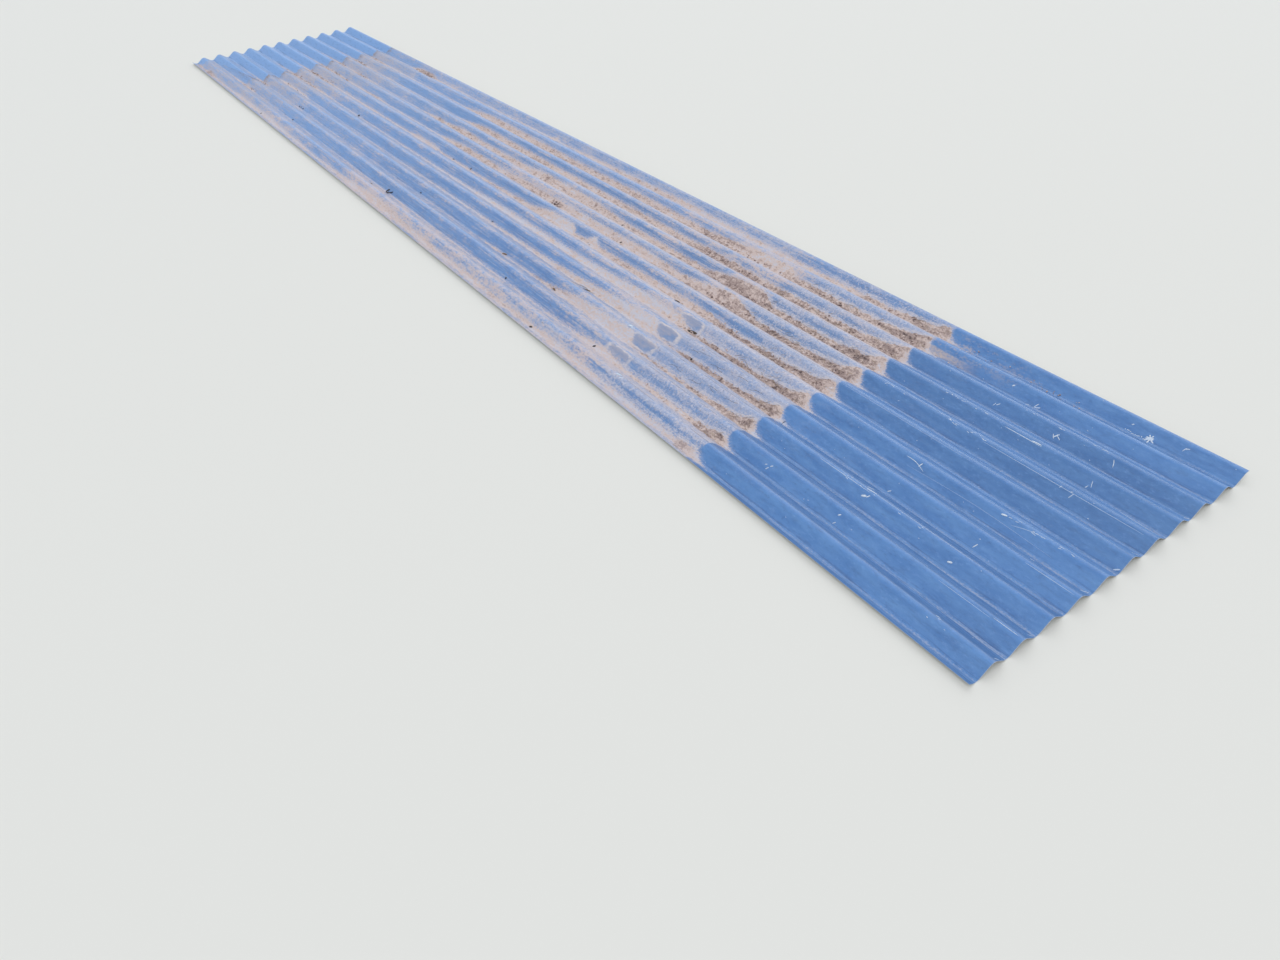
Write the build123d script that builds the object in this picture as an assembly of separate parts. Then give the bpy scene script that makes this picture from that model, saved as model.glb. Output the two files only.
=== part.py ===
from build123d import *
import math
import os

# A corrugated roofing sheet, lying flat as it is stored.
# One piece of thin steel, rolled into equal rounded waves and cut square at both ends.
# Millimetres. X runs along the waves, Y across them, Z up from the floor.
# The origin is on the floor under the middle of the sheet.

# Driving dimensions

wave_pitch = 76.2
wave_depth = 19.0
bend_radius = 17.0
steel_thickness = 0.5
crest_count = 11
lap_margin = 57.0
plain_margin = 6.0
sheet_length = 4700.0

# What follows from them
# wave_pitch is from crest to crest, and wave_depth is the rise of the steel from trough to crest.
# bend_radius is that of the middle of the steel, in the crests and the troughs alike.
# The margins run from the first and the last crest to the cut side edges.
# The lap edge passes a trough and ends part-way up the next flank, where it nests in a neighbour.
# The plain edge ends just past the top of the last crest.

half_pitch = wave_pitch / 2
half_thickness = steel_thickness / 2
first_crest_to_last = (crest_count - 1) * wave_pitch
sheet_width = lap_margin + first_crest_to_last + plain_margin
sheet_height = wave_depth + steel_thickness

first_crest_y = lap_margin - sheet_width / 2
crest_centre_z = half_thickness + wave_depth - bend_radius
trough_centre_z = half_thickness + bend_radius

# The straight flank touches a crest arc and a trough arc of one radius, on opposite sides.
# Its slope comes from the triangle of the two arc centres.

centre_rise = trough_centre_z - crest_centre_z
centre_distance = math.hypot(half_pitch, centre_rise)
tangent_angle = math.asin(2 * bend_radius / centre_distance)
centre_line_angle = math.atan2(centre_rise, half_pitch)
flank_angle = tangent_angle - centre_line_angle
flank_length = math.sqrt(centre_distance**2 - (2 * bend_radius)**2)


def crest_arc(crest_number, surface_offset):
    """The rounded top of one wave, on the surface that lies surface_offset above the middle of the steel."""
    centre_y = first_crest_y + crest_number * wave_pitch
    radius = bend_radius + surface_offset
    side = radius * math.sin(flank_angle)
    shoulder_z = crest_centre_z + radius * math.cos(flank_angle)
    top_z = crest_centre_z + radius
    return ThreePointArc((centre_y - side, shoulder_z), (centre_y, top_z), (centre_y + side, shoulder_z))


def trough_arc(crest_number, surface_offset):
    """The rounded bottom between this crest and the next one."""
    centre_y = first_crest_y + (crest_number + 0.5) * wave_pitch
    radius = bend_radius - surface_offset
    side = radius * math.sin(flank_angle)
    shoulder_z = trough_centre_z - radius * math.cos(flank_angle)
    bottom_z = trough_centre_z - radius
    return ThreePointArc((centre_y - side, shoulder_z), (centre_y, bottom_z), (centre_y + side, shoulder_z))


def wave_surface(surface_offset):
    """All the arcs and flanks of one surface, from one wave beyond the left edge to one beyond the right."""
    bends = []
    for crest_number in range(-1, crest_count + 1):
        bends.append(crest_arc(crest_number, surface_offset))
        bends.append(trough_arc(crest_number, surface_offset))
    edges = [bends[0]]
    for bend_before, bend_after in zip(bends, bends[1:]):
        edges.append(Line(bend_before @ 1, bend_after @ 0))
        edges.append(bend_after)
    return edges


def sheet_section():
    """The cross-section of the sheet: a waved strip of even thickness, trimmed to the width of the sheet."""
    upper = wave_surface(half_thickness)
    lower = wave_surface(-half_thickness)
    left_close = Line(upper[0] @ 0, lower[0] @ 0)
    right_close = Line(upper[-1] @ 1, lower[-1] @ 1)
    endless_strip = make_face(upper + lower + [left_close, right_close])
    trimming = Pos(0, sheet_height / 2) * Rectangle(sheet_width, 2 * sheet_height)
    return endless_strip & trimming


def corrugated_sheet():
    """The section drawn along the waves, between two square-cut ends."""
    start_plane = Plane(origin=(-sheet_length / 2, 0, 0), x_dir=(0, 1, 0), z_dir=(1, 0, 0))
    return extrude(start_plane * sheet_section(), amount=sheet_length)


sheet = corrugated_sheet().solid()
sheet.label = "corrugated_sheet"

os.makedirs("parts", exist_ok=True)
export_step(sheet, "parts/corrugated_sheet.step")

girth = sheet.volume / (steel_thickness * sheet_length)
print("width across the sheet", round(sheet_width, 1), "mm")
print("flank slope", round(math.degrees(flank_angle), 1), "degrees, straight part", round(flank_length, 1), "mm")
print("width of the flat strip before rolling", round(girth, 1), "mm")
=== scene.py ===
# %% [markdown]
# # A weathered sheet of corrugated roofing
#
# This lesson dresses one sheet of corrugated steel, 4.7 m long, that has lain outdoors for years. The
# sheet itself was drawn in a CAD program, so its waves are already exact and they stay as they are. What
# Blender adds is the look: blue paint, dust, mud that dried in the troughs, litter and scratches. The
# first step loads the sheet and keeps its box, because nothing added later may make it much bigger.

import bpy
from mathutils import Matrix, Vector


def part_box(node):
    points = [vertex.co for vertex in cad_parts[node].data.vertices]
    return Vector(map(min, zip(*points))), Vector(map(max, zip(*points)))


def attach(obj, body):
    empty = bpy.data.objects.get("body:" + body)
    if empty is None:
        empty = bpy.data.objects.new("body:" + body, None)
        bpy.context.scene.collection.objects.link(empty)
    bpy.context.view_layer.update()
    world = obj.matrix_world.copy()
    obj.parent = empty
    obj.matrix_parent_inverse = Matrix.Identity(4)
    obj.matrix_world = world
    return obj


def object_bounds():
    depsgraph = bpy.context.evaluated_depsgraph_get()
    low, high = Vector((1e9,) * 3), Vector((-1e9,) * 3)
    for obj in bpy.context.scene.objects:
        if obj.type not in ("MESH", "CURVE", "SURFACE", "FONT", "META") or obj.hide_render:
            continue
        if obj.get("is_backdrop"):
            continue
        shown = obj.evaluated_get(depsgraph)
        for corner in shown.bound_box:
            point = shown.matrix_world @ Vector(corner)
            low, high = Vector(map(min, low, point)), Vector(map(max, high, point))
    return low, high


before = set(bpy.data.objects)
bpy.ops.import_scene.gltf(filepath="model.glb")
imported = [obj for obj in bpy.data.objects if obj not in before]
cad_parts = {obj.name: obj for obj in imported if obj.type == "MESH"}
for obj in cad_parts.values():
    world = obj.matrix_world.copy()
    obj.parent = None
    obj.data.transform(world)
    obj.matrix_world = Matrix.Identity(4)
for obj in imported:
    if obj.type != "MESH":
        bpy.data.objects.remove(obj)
cad_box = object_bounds()
print("the sheet fills", [round(value, 4) for corner in cad_box for value in corner])

# %% [markdown]
# ## The measures of the wave
#
# Dust lies on the crests and mud in the troughs, so every later step asks where on the wave a point is.
# Two numbers say it: the distance from the far end in millimetres, and the wave position across the
# sheet. Wave position 3 is the top of crest 3, 3.5 is the bottom of the trough after it, and 4 is the
# next crest. The length, the height and the edges could be typed in again, but a longer sheet would then
# be dressed wrongly. So they are read from the sheet, and only four sizes of its profile are written.

# %% Measures
import math

MM = 0.001
wave_pitch = 76.2
bend_radius = 17.0
steel_thickness = 0.5
lap_margin = 57.0

sheet_low, sheet_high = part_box("corrugated_sheet")
sheet_length = (sheet_high.x - sheet_low.x) / MM
sheet_height = (sheet_high.z - sheet_low.z) / MM
lap_edge = sheet_low.y / MM
plain_edge = sheet_high.y / MM
first_crest = lap_edge + lap_margin
lap_edge_wave = (lap_edge - first_crest) / wave_pitch
plain_edge_wave = (plain_edge - first_crest) / wave_pitch

half_pitch = wave_pitch / 2
crest_centre = sheet_height - steel_thickness / 2 - bend_radius
trough_centre = steel_thickness / 2 + bend_radius
centre_gap = math.hypot(half_pitch, trough_centre - crest_centre)
centre_slope = math.atan2(trough_centre - crest_centre, half_pitch)
flank_angle = math.asin(2 * bend_radius / centre_gap) - centre_slope
crest_bend = bend_radius + steel_thickness / 2
trough_bend = bend_radius - steel_thickness / 2

print("waves run from", round(lap_edge_wave, 2), "to", round(plain_edge_wave, 2))
print("a flank rises at", round(math.degrees(flank_angle), 1), "degrees")

# %% [markdown]
# ## Places on the sheet
#
# Whatever lies on the sheet has to follow its curved face: an arc over each crest, a straight flank, and
# an arc again in the trough. A ray could be shot down at the mesh to find the height, but that is slow
# and finds its facets. So the height is worked out from the arcs and straight flanks of the real rolled
# profile, and the slope from two heights that are close together.

# %% Places on the sheet
import numpy as np


def face_height(wave):
    """Height of the painted face above the floor, in mm, at a wave position."""
    offset = np.abs(wave - np.round(wave)) * wave_pitch
    from_trough = half_pitch - offset
    on_crest = crest_centre + np.sqrt(np.maximum(crest_bend**2 - offset**2, 0))
    in_trough = trough_centre - np.sqrt(np.maximum(trough_bend**2 - from_trough**2, 0))
    flank_start = crest_bend * math.sin(flank_angle)
    flank_top = crest_centre + crest_bend * math.cos(flank_angle)
    on_flank = flank_top - (offset - flank_start) * math.tan(flank_angle)
    low_part = np.where(from_trough < trough_bend * math.sin(flank_angle), in_trough, on_flank)
    return np.where(offset < flank_start, on_crest, low_part)


def on_sheet(distance, wave, lift):
    """A point in metres, at a distance from the far end and a wave position, lift mm off the paint."""
    wave = np.asarray(wave, float)
    half_step = 0.004
    rise = face_height(wave + half_step) - face_height(wave - half_step)
    slope = rise / (2 * half_step * wave_pitch)
    length = np.sqrt(1 + slope**2)
    x = np.asarray(distance, float) - sheet_length / 2 + 0 * wave
    y = first_crest + wave * wave_pitch - lift * slope / length
    z = face_height(wave) + lift / length
    return np.stack([x * MM, y * MM, z * MM], axis=-1)


print("a crest is", round(float(face_height(3.0)), 2), "mm high")

# %% [markdown]
# ## The camera
#
# The sheet is seen from above one corner of the near end, at standing height, through a wide phone lens.
# A camera could be placed by eye, but long parallel waves show the smallest error in it. So its place was
# worked out from the corners and edges of the sheet, and it is given by three things: where it stands,
# what it looks at, and how far it is rolled about its own axis.

# %% Camera
import bpy
from mathutils import Matrix, Vector

scene = bpy.context.scene
scene.view_settings.view_transform = "Standard"

camera_place = Vector((2.801, -1.2996, 1.2086))
looks_along = Vector((-0.6401, 0.4150, -0.6466))
camera_roll = math.radians(3.8)
lens_mm = 25.43
film_mm = 36.0

camera_data = bpy.data.cameras.new("camera")
camera_data.sensor_width = film_mm
camera_data.lens = lens_mm
camera_data.clip_start = 0.05
camera_data.clip_end = 200.0
camera = bpy.data.objects.new("camera", camera_data)
scene.collection.objects.link(camera)
level_view = looks_along.to_track_quat("-Z", "Y").to_matrix()
rolled_view = Matrix.Rotation(-camera_roll, 3, looks_along.normalized() * -1) @ level_view
camera.matrix_world = Matrix.Translation(camera_place) @ rolled_view.to_4x4()
scene.camera = camera
print("camera right axis", [round(value, 4) for value in rolled_view.col[0]])

# %% [markdown]
# ## Numbers that vary over a surface
#
# A procedural finish is a small program made of nodes, and wiring hundreds of them by hand is hard to
# read. It could be drawn in the node editor, but then the lesson could not show why each node is there.
# So a Field stands for a number that changes from place to place, and ordinary sums on it add the nodes.
# With it, a line such as dust = (streaks + blotches).rise(0.4, 0.6) reads like what it does.

# %% Fields


class Field:
    """A number at each point of a surface. Sums, products and the methods below add a node each."""

    def __init__(self, tree, socket):
        self.tree = tree
        self.socket = socket

    def __add__(self, other):
        return do_sum(self.tree, "ADD", self, other)

    def __sub__(self, other):
        return do_sum(self.tree, "SUBTRACT", self, other)

    def __rsub__(self, other):
        return do_sum(self.tree, "SUBTRACT", other, self)

    def __mul__(self, other):
        return do_sum(self.tree, "MULTIPLY", self, other)

    def __truediv__(self, other):
        return do_sum(self.tree, "DIVIDE", self, other)

    __radd__ = __add__
    __rmul__ = __mul__

    def whole(self):
        """The whole number at or below it."""
        return do_sum(self.tree, "FLOOR", self)

    def size(self):
        """Its size without its sign."""
        return do_sum(self.tree, "ABSOLUTE", self)

    def least(self, other):
        """The smaller of the two."""
        return do_sum(self.tree, "MINIMUM", self, other)

    def most(self, other):
        """The larger of the two."""
        return do_sum(self.tree, "MAXIMUM", self, other)

    def rise(self, low, high):
        """Goes softly from 0 to 1 as the field goes from low to high, or falls when low is the larger."""
        node = self.tree.nodes.new("ShaderNodeMapRange")
        node.interpolation_type = "SMOOTHSTEP"
        plug(self.tree, node.inputs["Value"], self)
        plug(self.tree, node.inputs["From Min"], low)
        plug(self.tree, node.inputs["From Max"], high)
        return Field(self.tree, node.outputs["Result"])

    def band(self, start, full, still_full, end):
        """1 from full to still_full, and softly down to 0 at start and at end."""
        return self.rise(start, full) * self.rise(end, still_full)


methods = [name for name in vars(Field) if not name.startswith("_")]
print("besides sums, a field knows", ", ".join(methods))

# %% [markdown]
# ## A node for each sum
#
# Each sum of fields is one Math node, and an entry of a node takes a link, a colour or a plain number.
# The lesson could ask at every place which of them it is, or hide each sum in a node group, but both
# would be harder to read. So plug() fills any entry of any node, and do_sum() adds the node and hands
# back what comes out of it as a new field.

# %% Entries and sums


def plug(tree, entry, value):
    """Gives one entry of a node a field, a colour or a plain number."""
    if isinstance(value, Field):
        tree.links.new(value.socket, entry)
    elif isinstance(value, tuple):
        entry.default_value = value
    else:
        entry.default_value = float(value)


def do_sum(tree, operation, *values):
    """One Math node."""
    node = tree.nodes.new("ShaderNodeMath")
    node.operation = operation
    for entry, value in zip(node.inputs, values):
        plug(tree, entry, value)
    return Field(tree, node.outputs["Value"])


print("a field can be added, multiplied, compared and turned into a soft step")

# %% [markdown]
# ## Colours
#
# The colour of paint or clay is easiest to note as a screen shows it, but Blender mixes light, which
# counts otherwise. Linear numbers could be typed straight in, but nobody can tell from 0.11, 0.24, 0.52
# that it is a dusty blue. So colour() turns the screen's numbers into Blender's, and mix() lays one
# colour over another by a field.

# %% Colours


def colour(red, green, blue):
    """A colour as a screen shows it, 0 to 255, in the linear numbers that Blender mixes with."""
    parts = [value / 255 for value in (red, green, blue)]
    linear = [part / 12.92 if part <= 0.04045 else ((part + 0.055) / 1.055) ** 2.4 for part in parts]
    return (*linear, 1.0)


def mix(amount, under, over):
    """The under colour where amount is 0, the over colour where it is 1."""
    tree = amount.tree
    node = tree.nodes.new("ShaderNodeMix")
    node.data_type = "RGBA"
    plug(tree, node.inputs["Factor"], amount)
    plug(tree, node.inputs[6], under)
    plug(tree, node.inputs[7], over)
    return Field(tree, node.outputs[2])


print("a middle blue, in linear numbers, is", [round(value, 3) for value in colour(92, 133, 191)])

# %% [markdown]
# ## The ground that a finish lies on
#
# Every finish asks the same of a point: how far along the sheet it is, on which wave, and how far off the
# crest. A UV map could carry that, but it has to be unwrapped, and the pieces of mud would each need one
# that agrees. Object coordinates are there on every mesh, in metres, and a little arithmetic turns them
# into distance and wave. The noise is stretched in millimetres, so cloud(170, 4.5, ...) makes streaks 170
# mm long and 4.5 mm wide.

# %% Ground
# how far apart the noises of two neighbouring seeds lie, in blotches
seed_steps = (7.31, 3.17, 5.53)


class Ground:
    """Where each point is, by distance and wave, and noise that is laid out over it in mm."""

    def __init__(self, tree):
        self.tree = tree
        self.place = tree.nodes.new("ShaderNodeTexCoord").outputs["Object"]
        parts = tree.nodes.new("ShaderNodeSeparateXYZ")
        tree.links.new(self.place, parts.inputs[0])
        x = Field(tree, parts.outputs["X"]) * (1 / MM)
        y = Field(tree, parts.outputs["Y"]) * (1 / MM)
        self.distance = x + sheet_length / 2
        self.wave = (y - first_crest) / wave_pitch
        self.trough = self.wave.whole()
        self.crest = (self.wave + 0.5).whole()
        # both run from -0.5 to 0.5 waves: uphill is 0 in the bottom of a trough, off_crest on a crest
        self.uphill = self.wave - self.trough - 0.5
        self.off_crest = self.wave - self.crest

    def stretched(self, along, across, seed):
        """The place on the sheet, measured in blotches that are along by across mm."""
        node = self.tree.nodes.new("ShaderNodeMapping")
        self.tree.links.new(self.place, node.inputs["Vector"])
        node.inputs["Scale"].default_value = (1 / (along * MM), 1 / (across * MM), 1 / (across * MM))
        node.inputs["Location"].default_value = [seed * step for step in seed_steps]
        return node.outputs["Vector"]

    def cloud(self, along, across, seed, detail=2.0, roughness=0.5):
        """Soft noise, mostly between 0.3 and 0.7, in blotches of along by across mm."""
        node = self.tree.nodes.new("ShaderNodeTexNoise")
        node.inputs["Scale"].default_value = 1.0
        node.inputs["Detail"].default_value = detail
        node.inputs["Roughness"].default_value = roughness
        self.tree.links.new(self.stretched(along, across, seed), node.inputs["Vector"])
        return Field(self.tree, node.outputs[0])


print("one wave is", wave_pitch, "mm wide, so a quarter of a wave is", wave_pitch / 4, "mm")

# %% [markdown]
# ## New materials and bumps
#
# The paint, the mud, the litter and the pale marks all begin alike, with a shader and the ground that they
# lie on. Copying one finished material to start the next would carry its old nodes along. So
# new_material() hands out an empty one, dress() gives its shader a colour and a roughness, and
# raise_bumps() adds a relief in millimetres. A bump only turns the light, so it suits grains that are too
# small for a mesh.

# %% New materials and bumps


def new_material(name):
    """An empty material with its tree, its main shader and its ground."""
    material = bpy.data.materials.new(name)
    material.use_nodes = True
    tree = material.node_tree
    shader = tree.nodes["Principled BSDF"]
    return material, tree, shader, Ground(tree)


def dress(tree, shader, tone, roughness):
    """Gives the shader its colour and its roughness, each a field or a plain value."""
    plug(tree, shader.inputs["Base Color"], tone)
    plug(tree, shader.inputs["Roughness"], roughness)


def raise_bumps(tree, shader, height_mm):
    """Lets the shader see a height, given in mm."""
    node = tree.nodes.new("ShaderNodeBump")
    node.inputs["Strength"].default_value = 1.0
    node.inputs["Distance"].default_value = MM
    tree.links.new(height_mm.socket, node.inputs["Height"])
    tree.links.new(node.outputs["Normal"], shader.inputs["Normal"])


print("a height of 1 in a bump stands for", MM, "m")

# %% [markdown]
# ## The dirt, read along each trough and each crest
#
# Rain washes dirt off the crests and drops it in the troughs, so each wave has its own story along its
# length. A mask could be painted by hand, but it would be a picture file, and a noise alone would look
# the same all over. So each trough has a short profile: at a few distances it says how well mud covers
# the bottom, how far it reaches up the flank, how brown it is and how deep it lies. The mud meshes and
# the thin film in the paint both read it.

# %% Profiles of the troughs
far_lap_line = 544.0
batten_near = 3497.0
batten_far = 3583.0
near_lap_line = 3965.0
near_lap_slant = 2.8

# distance in mm, cover 0 to 1, reach up the flank 0 to 1, brownness 0 to 1, depth in mm
trough_profiles = {
    -1: [
        (0, .3, .1, .3, 0), (60, .8, .3, .8, .3), (120, .4, .2, .4, 0), (210, .9, .4, .9, .4),
        (325, .6, .3, .5, 0), (545, .5, .3, .3, 0), (685, .6, .4, .1, 0), (1045, .6, .5, .1, 0),
        (1645, .5, .3, .1, 0), (1995, .55, .5, .2, 0), (2245, .7, .8, .35, 0), (2445, .47, .6, .4, 0),
        (3045, .43, .5, .3, 0), (3487, .65, .5, .2, 0), (3597, .7, .35, .1, .1),
        (3904, .8, .35, .15, .1),
    ],
    0: [
        (0, .1, .1, .1, 0), (544, .75, .13, .5, .3), (665, .7, .12, .45, .2), (705, .35, .1, .2, 0),
        (1445, .3, .1, .1, 0), (2045, .4, .12, .1, 0), (2545, .36, .15, .2, 0),
        (3345, .43, .25, .25, 0), (3496, .8, .5, .25, 0), (3584, .8, .15, .35, .2),
        (3824, .9, .16, .35, .4),
    ],
    1: [
        (0, .1, .05, .1, 0), (544, .7, .1, .5, .25), (635, .7, .1, .5, .2), (675, .3, .08, .1, 0),
        (1540, .35, .1, .1, 0), (2640, .29, .12, .25, 0), (2800, .58, .18, .6, .3),
        (2890, .36, .2, .3, 0), (3090, .58, .3, .6, .1), (3240, .58, .8, .25, .1),
        (3492, .85, .9, .1, .1), (3512, .5, .3, .4, .1), (3584, .7, .1, .6, .3),
        (3824, .9, .16, .6, .6),
    ],
    2: [
        (0, .1, .05, .1, 0), (544, .3, .1, .2, 0), (665, .7, .25, .2, 0), (905, .7, .25, .25, 0),
        (982, .3, .1, .1, 0), (1832, .4, .15, .1, 0), (2332, .6, .2, .15, 0), (2832, .58, .3, .25, .1),
        (3132, .65, .5, .25, .2), (3282, .68, .75, .15, .2), (3492, .9, .95, .1, .2),
        (3512, .5, .3, .2, .1), (3597, .6, .1, .7, .4), (3644, .9, .1, .9, .7),
        (3824, .95, .14, .8, .8),
    ],
    3: [
        (0, .1, .05, .1, 0), (544, .75, .13, .5, .3), (645, .7, .12, .5, .3), (685, .5, .1, .3, 0),
        (745, .75, .13, .5, .3), (855, .7, .13, .45, .2), (895, .6, .25, .45, 0),
        (1070, .5, .15, .3, 0), (1520, .5, .12, .1, 0), (2320, .7, .2, .05, .1),
        (2520, .95, .25, .05, .2), (3020, .95, .3, .05, .3), (3320, .9, .6, .1, .3),
        (3496, .8, .7, .15, .2), (3557, .8, .12, .5, .6), (3638, .95, .12, .95, 1),
        (3818, 1, .15, .95, 1.2),
    ],
    4: [
        (0, .1, .05, .1, 0), (544, .75, .1, .5, .35), (835, .75, .1, .5, .3), (935, .55, .15, .3, 0),
        (1208, .6, .2, .3, 0), (1658, .6, .2, .3, 0), (1748, .8, .35, .3, .1), (1908, .8, .35, .3, .1),
        (1958, .6, .2, .4, 0), (2308, .7, .2, .45, .1), (2608, .85, .3, .5, .2),
        (2718, .95, .7, .2, .4), (2858, .95, .75, .1, .4), (2878, .8, .2, .4, .2),
        (2943, .9, .3, .2, .3), (2973, .95, .8, .1, .5), (3003, .9, .3, .2, .3), (3058, .9, .3, .6, .3),
        (3308, .85, .4, .35, .3), (3528, .85, .4, .5, .5), (3628, .95, .15, .8, 1),
        (3818, 1, .2, .85, 1.4),
    ],
    5: [
        (0, .1, .05, .1, 0), (544, .75, .13, .5, .35), (825, .7, .13, .5, .3), (945, .55, .15, .35, 0),
        (1184, .7, .25, .7, .2), (1234, .6, .2, .5, .1), (1314, .5, .15, .05, 0),
        (1764, .6, .15, .1, 0), (1864, .8, .3, .3, .1), (1974, .9, .35, .5, .4), (2174, .9, .4, .5, .4),
        (2264, .8, .35, .4, .1), (2414, .9, .45, .5, .3), (2664, .95, .45, .5, .5),
        (2714, .9, .5, .3, .2), (3114, .9, .6, .35, .3), (3314, .9, .4, .5, .4),
        (3458, .95, .8, .6, .7), (3508, 1, 1, .55, .9), (3588, 1, .5, .75, 1.2),
        (3628, .95, .22, .8, 1.3), (3818, 1, .24, .8, 1.7),
    ],
    6: [
        (0, .1, .05, .1, 0), (544, .75, .13, .5, .35), (605, .7, .1, .5, .25), (645, .5, .1, .3, 0),
        (745, .7, .13, .5, .3), (855, .7, .13, .45, .2), (968, .45, .1, .3, 0), (1448, .4, .15, .2, 0),
        (1608, .85, .28, .5, .3), (1688, .7, .3, .5, .2), (1828, .95, .45, .5, .5),
        (1978, .85, .35, .4, .2), (2328, .9, .4, .4, .3), (2428, 1, .6, .45, .4),
        (2728, 1, .6, .45, .4), (2928, .9, .35, .5, .3), (3328, .9, .3, .6, .6), (3458, 1, .8, .8, 1),
        (3548, 1, .9, .7, 1.2), (3608, .95, .28, .65, 1.3), (3818, 1, .26, .65, 1.7),
    ],
    7: [
        (0, .1, .05, .1, 0), (544, .7, .1, .5, .3), (685, .7, .1, .5, .2), (765, .55, .15, .3, 0),
        (1658, .4, .12, .2, 0), (1818, .85, .35, .5, .35), (1888, .95, .4, .5, .3),
        (2338, .9, .35, .5, .3), (3138, .95, .35, .5, .4), (3238, .95, .4, .8, .8),
        (3528, 1, .3, .65, 1.3), (3818, 1, .28, .5, 1.7),
    ],
    8: [
        (0, .1, .05, .1, 0), (544, .6, .1, .4, .15), (605, .7, .12, .5, .3), (685, .75, .1, .5, .25),
        (765, .6, .2, .3, 0), (1092, .5, .2, .15, 0), (1552, .45, .2, .2, 0), (1742, .85, .5, .45, .25),
        (1872, .95, .5, .45, .3), (2342, .95, .4, .5, .3), (2792, .95, .45, .5, .3),
        (3092, .95, .4, .5, .4), (3142, .95, .35, .8, .7), (3362, .95, .8, .3, .8),
        (3498, .95, .85, .3, 1), (3528, 1, .32, .65, 1.3), (3818, 1, .3, .45, 1.7),
    ],
    9: [
        (0, .2, .1, .1, 0), (845, .3, .2, .2, 0), (955, .9, .4, .65, .4), (1072, .9, .4, .8, .4),
        (1122, .5, .3, .4, 0), (1542, .4, .25, .3, 0), (2122, .5, .3, .2, 0), (2142, .9, .4, .5, .2),
        (2182, .4, .3, .2, 0), (2492, .6, .4, .4, .1), (2942, .7, .5, .4, .2), (3042, .6, .5, .2, .1),
        (3528, .7, .3, .3, .3), (3818, .9, .25, .5, .8),
    ],
}

print(len(trough_profiles), "troughs have a profile")

# %% [markdown]
# ## Piles at the lap line
#
# Where the next sheet lay over this one, its edge held the water back, and mud piled up against it in
# every trough. The rows of a pile could be typed at the end of each profile, but they would be nearly the
# same eleven times. So each trough has only a size for its pile, and with_pile() adds the rows: it rises
# to the lap line, is cut off there, and leaves a thin fan beyond.

# %% Piles at the lap line
# how much mud the water piled up in each trough, where 1 is the largest pile
pile_sizes = {-1: 0.1, 0: 0.25, 1: 0.55, 2: 0.6, 3: 0.8, 4: 0.9, 5: 1.0, 6: 1.0, 7: 1.0, 8: 1.0, 9: 0.8}
pile_depth = 6.0


def near_line_at(wave):
    """Distance of the near lap line at a wave position."""
    return near_lap_line + near_lap_slant * wave


def with_pile(number, rows):
    """The rows of one trough with the pile at the lap line added at their end."""
    line = near_line_at(number + 0.5)
    size = pile_sizes[number]
    last = rows[-1]
    grown = (line - 55, 1.0, last[2] + 0.25 * size, 0.85, last[4] + 0.5 * pile_depth * size)
    full = (line - 12, 1.0, 0.3 + 0.6 * size, 0.6, last[4] + 0.8 * pile_depth * size)
    stop = (line, 1.0, 0.25 + 0.6 * size, 0.35, 0.3)
    fan = (line + 12, 0.9, 0.12, 0.1, 0.1)
    end = (line + 50, 0.35, 0.0, 0.05, 0.0)
    clean = (line + 90, 0.0, 0.0, 0.05, 0.0)
    return rows + [grown, full, stop, fan, end, clean, (sheet_length, 0.0, 0.0, 0.05, 0.0)]


def amount_at(rows, column, distance):
    """One amount of a profile at a distance, or at many: column 1 is the first after the distance."""
    return np.interp(distance, [row[0] for row in rows], [row[column] for row in rows])


trough_rows = {number: with_pile(number, rows) for number, rows in trough_profiles.items()}
depth_column = 4
print(len(trough_rows), "troughs with", sum(len(rows) for rows in trough_rows.values()), "rows")

# %% [markdown]
# ## Dust on the crests
#
# Dust stays where wind and rain left it: thick just past the far lap line, thin on flanks that drain, and
# thick again towards the piles. One soft noise would spread it evenly and a painted mask would be a
# picture file. So each crest has a profile too: dust on the flank before it, on and after it, and how tan
# the dust is.

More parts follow.
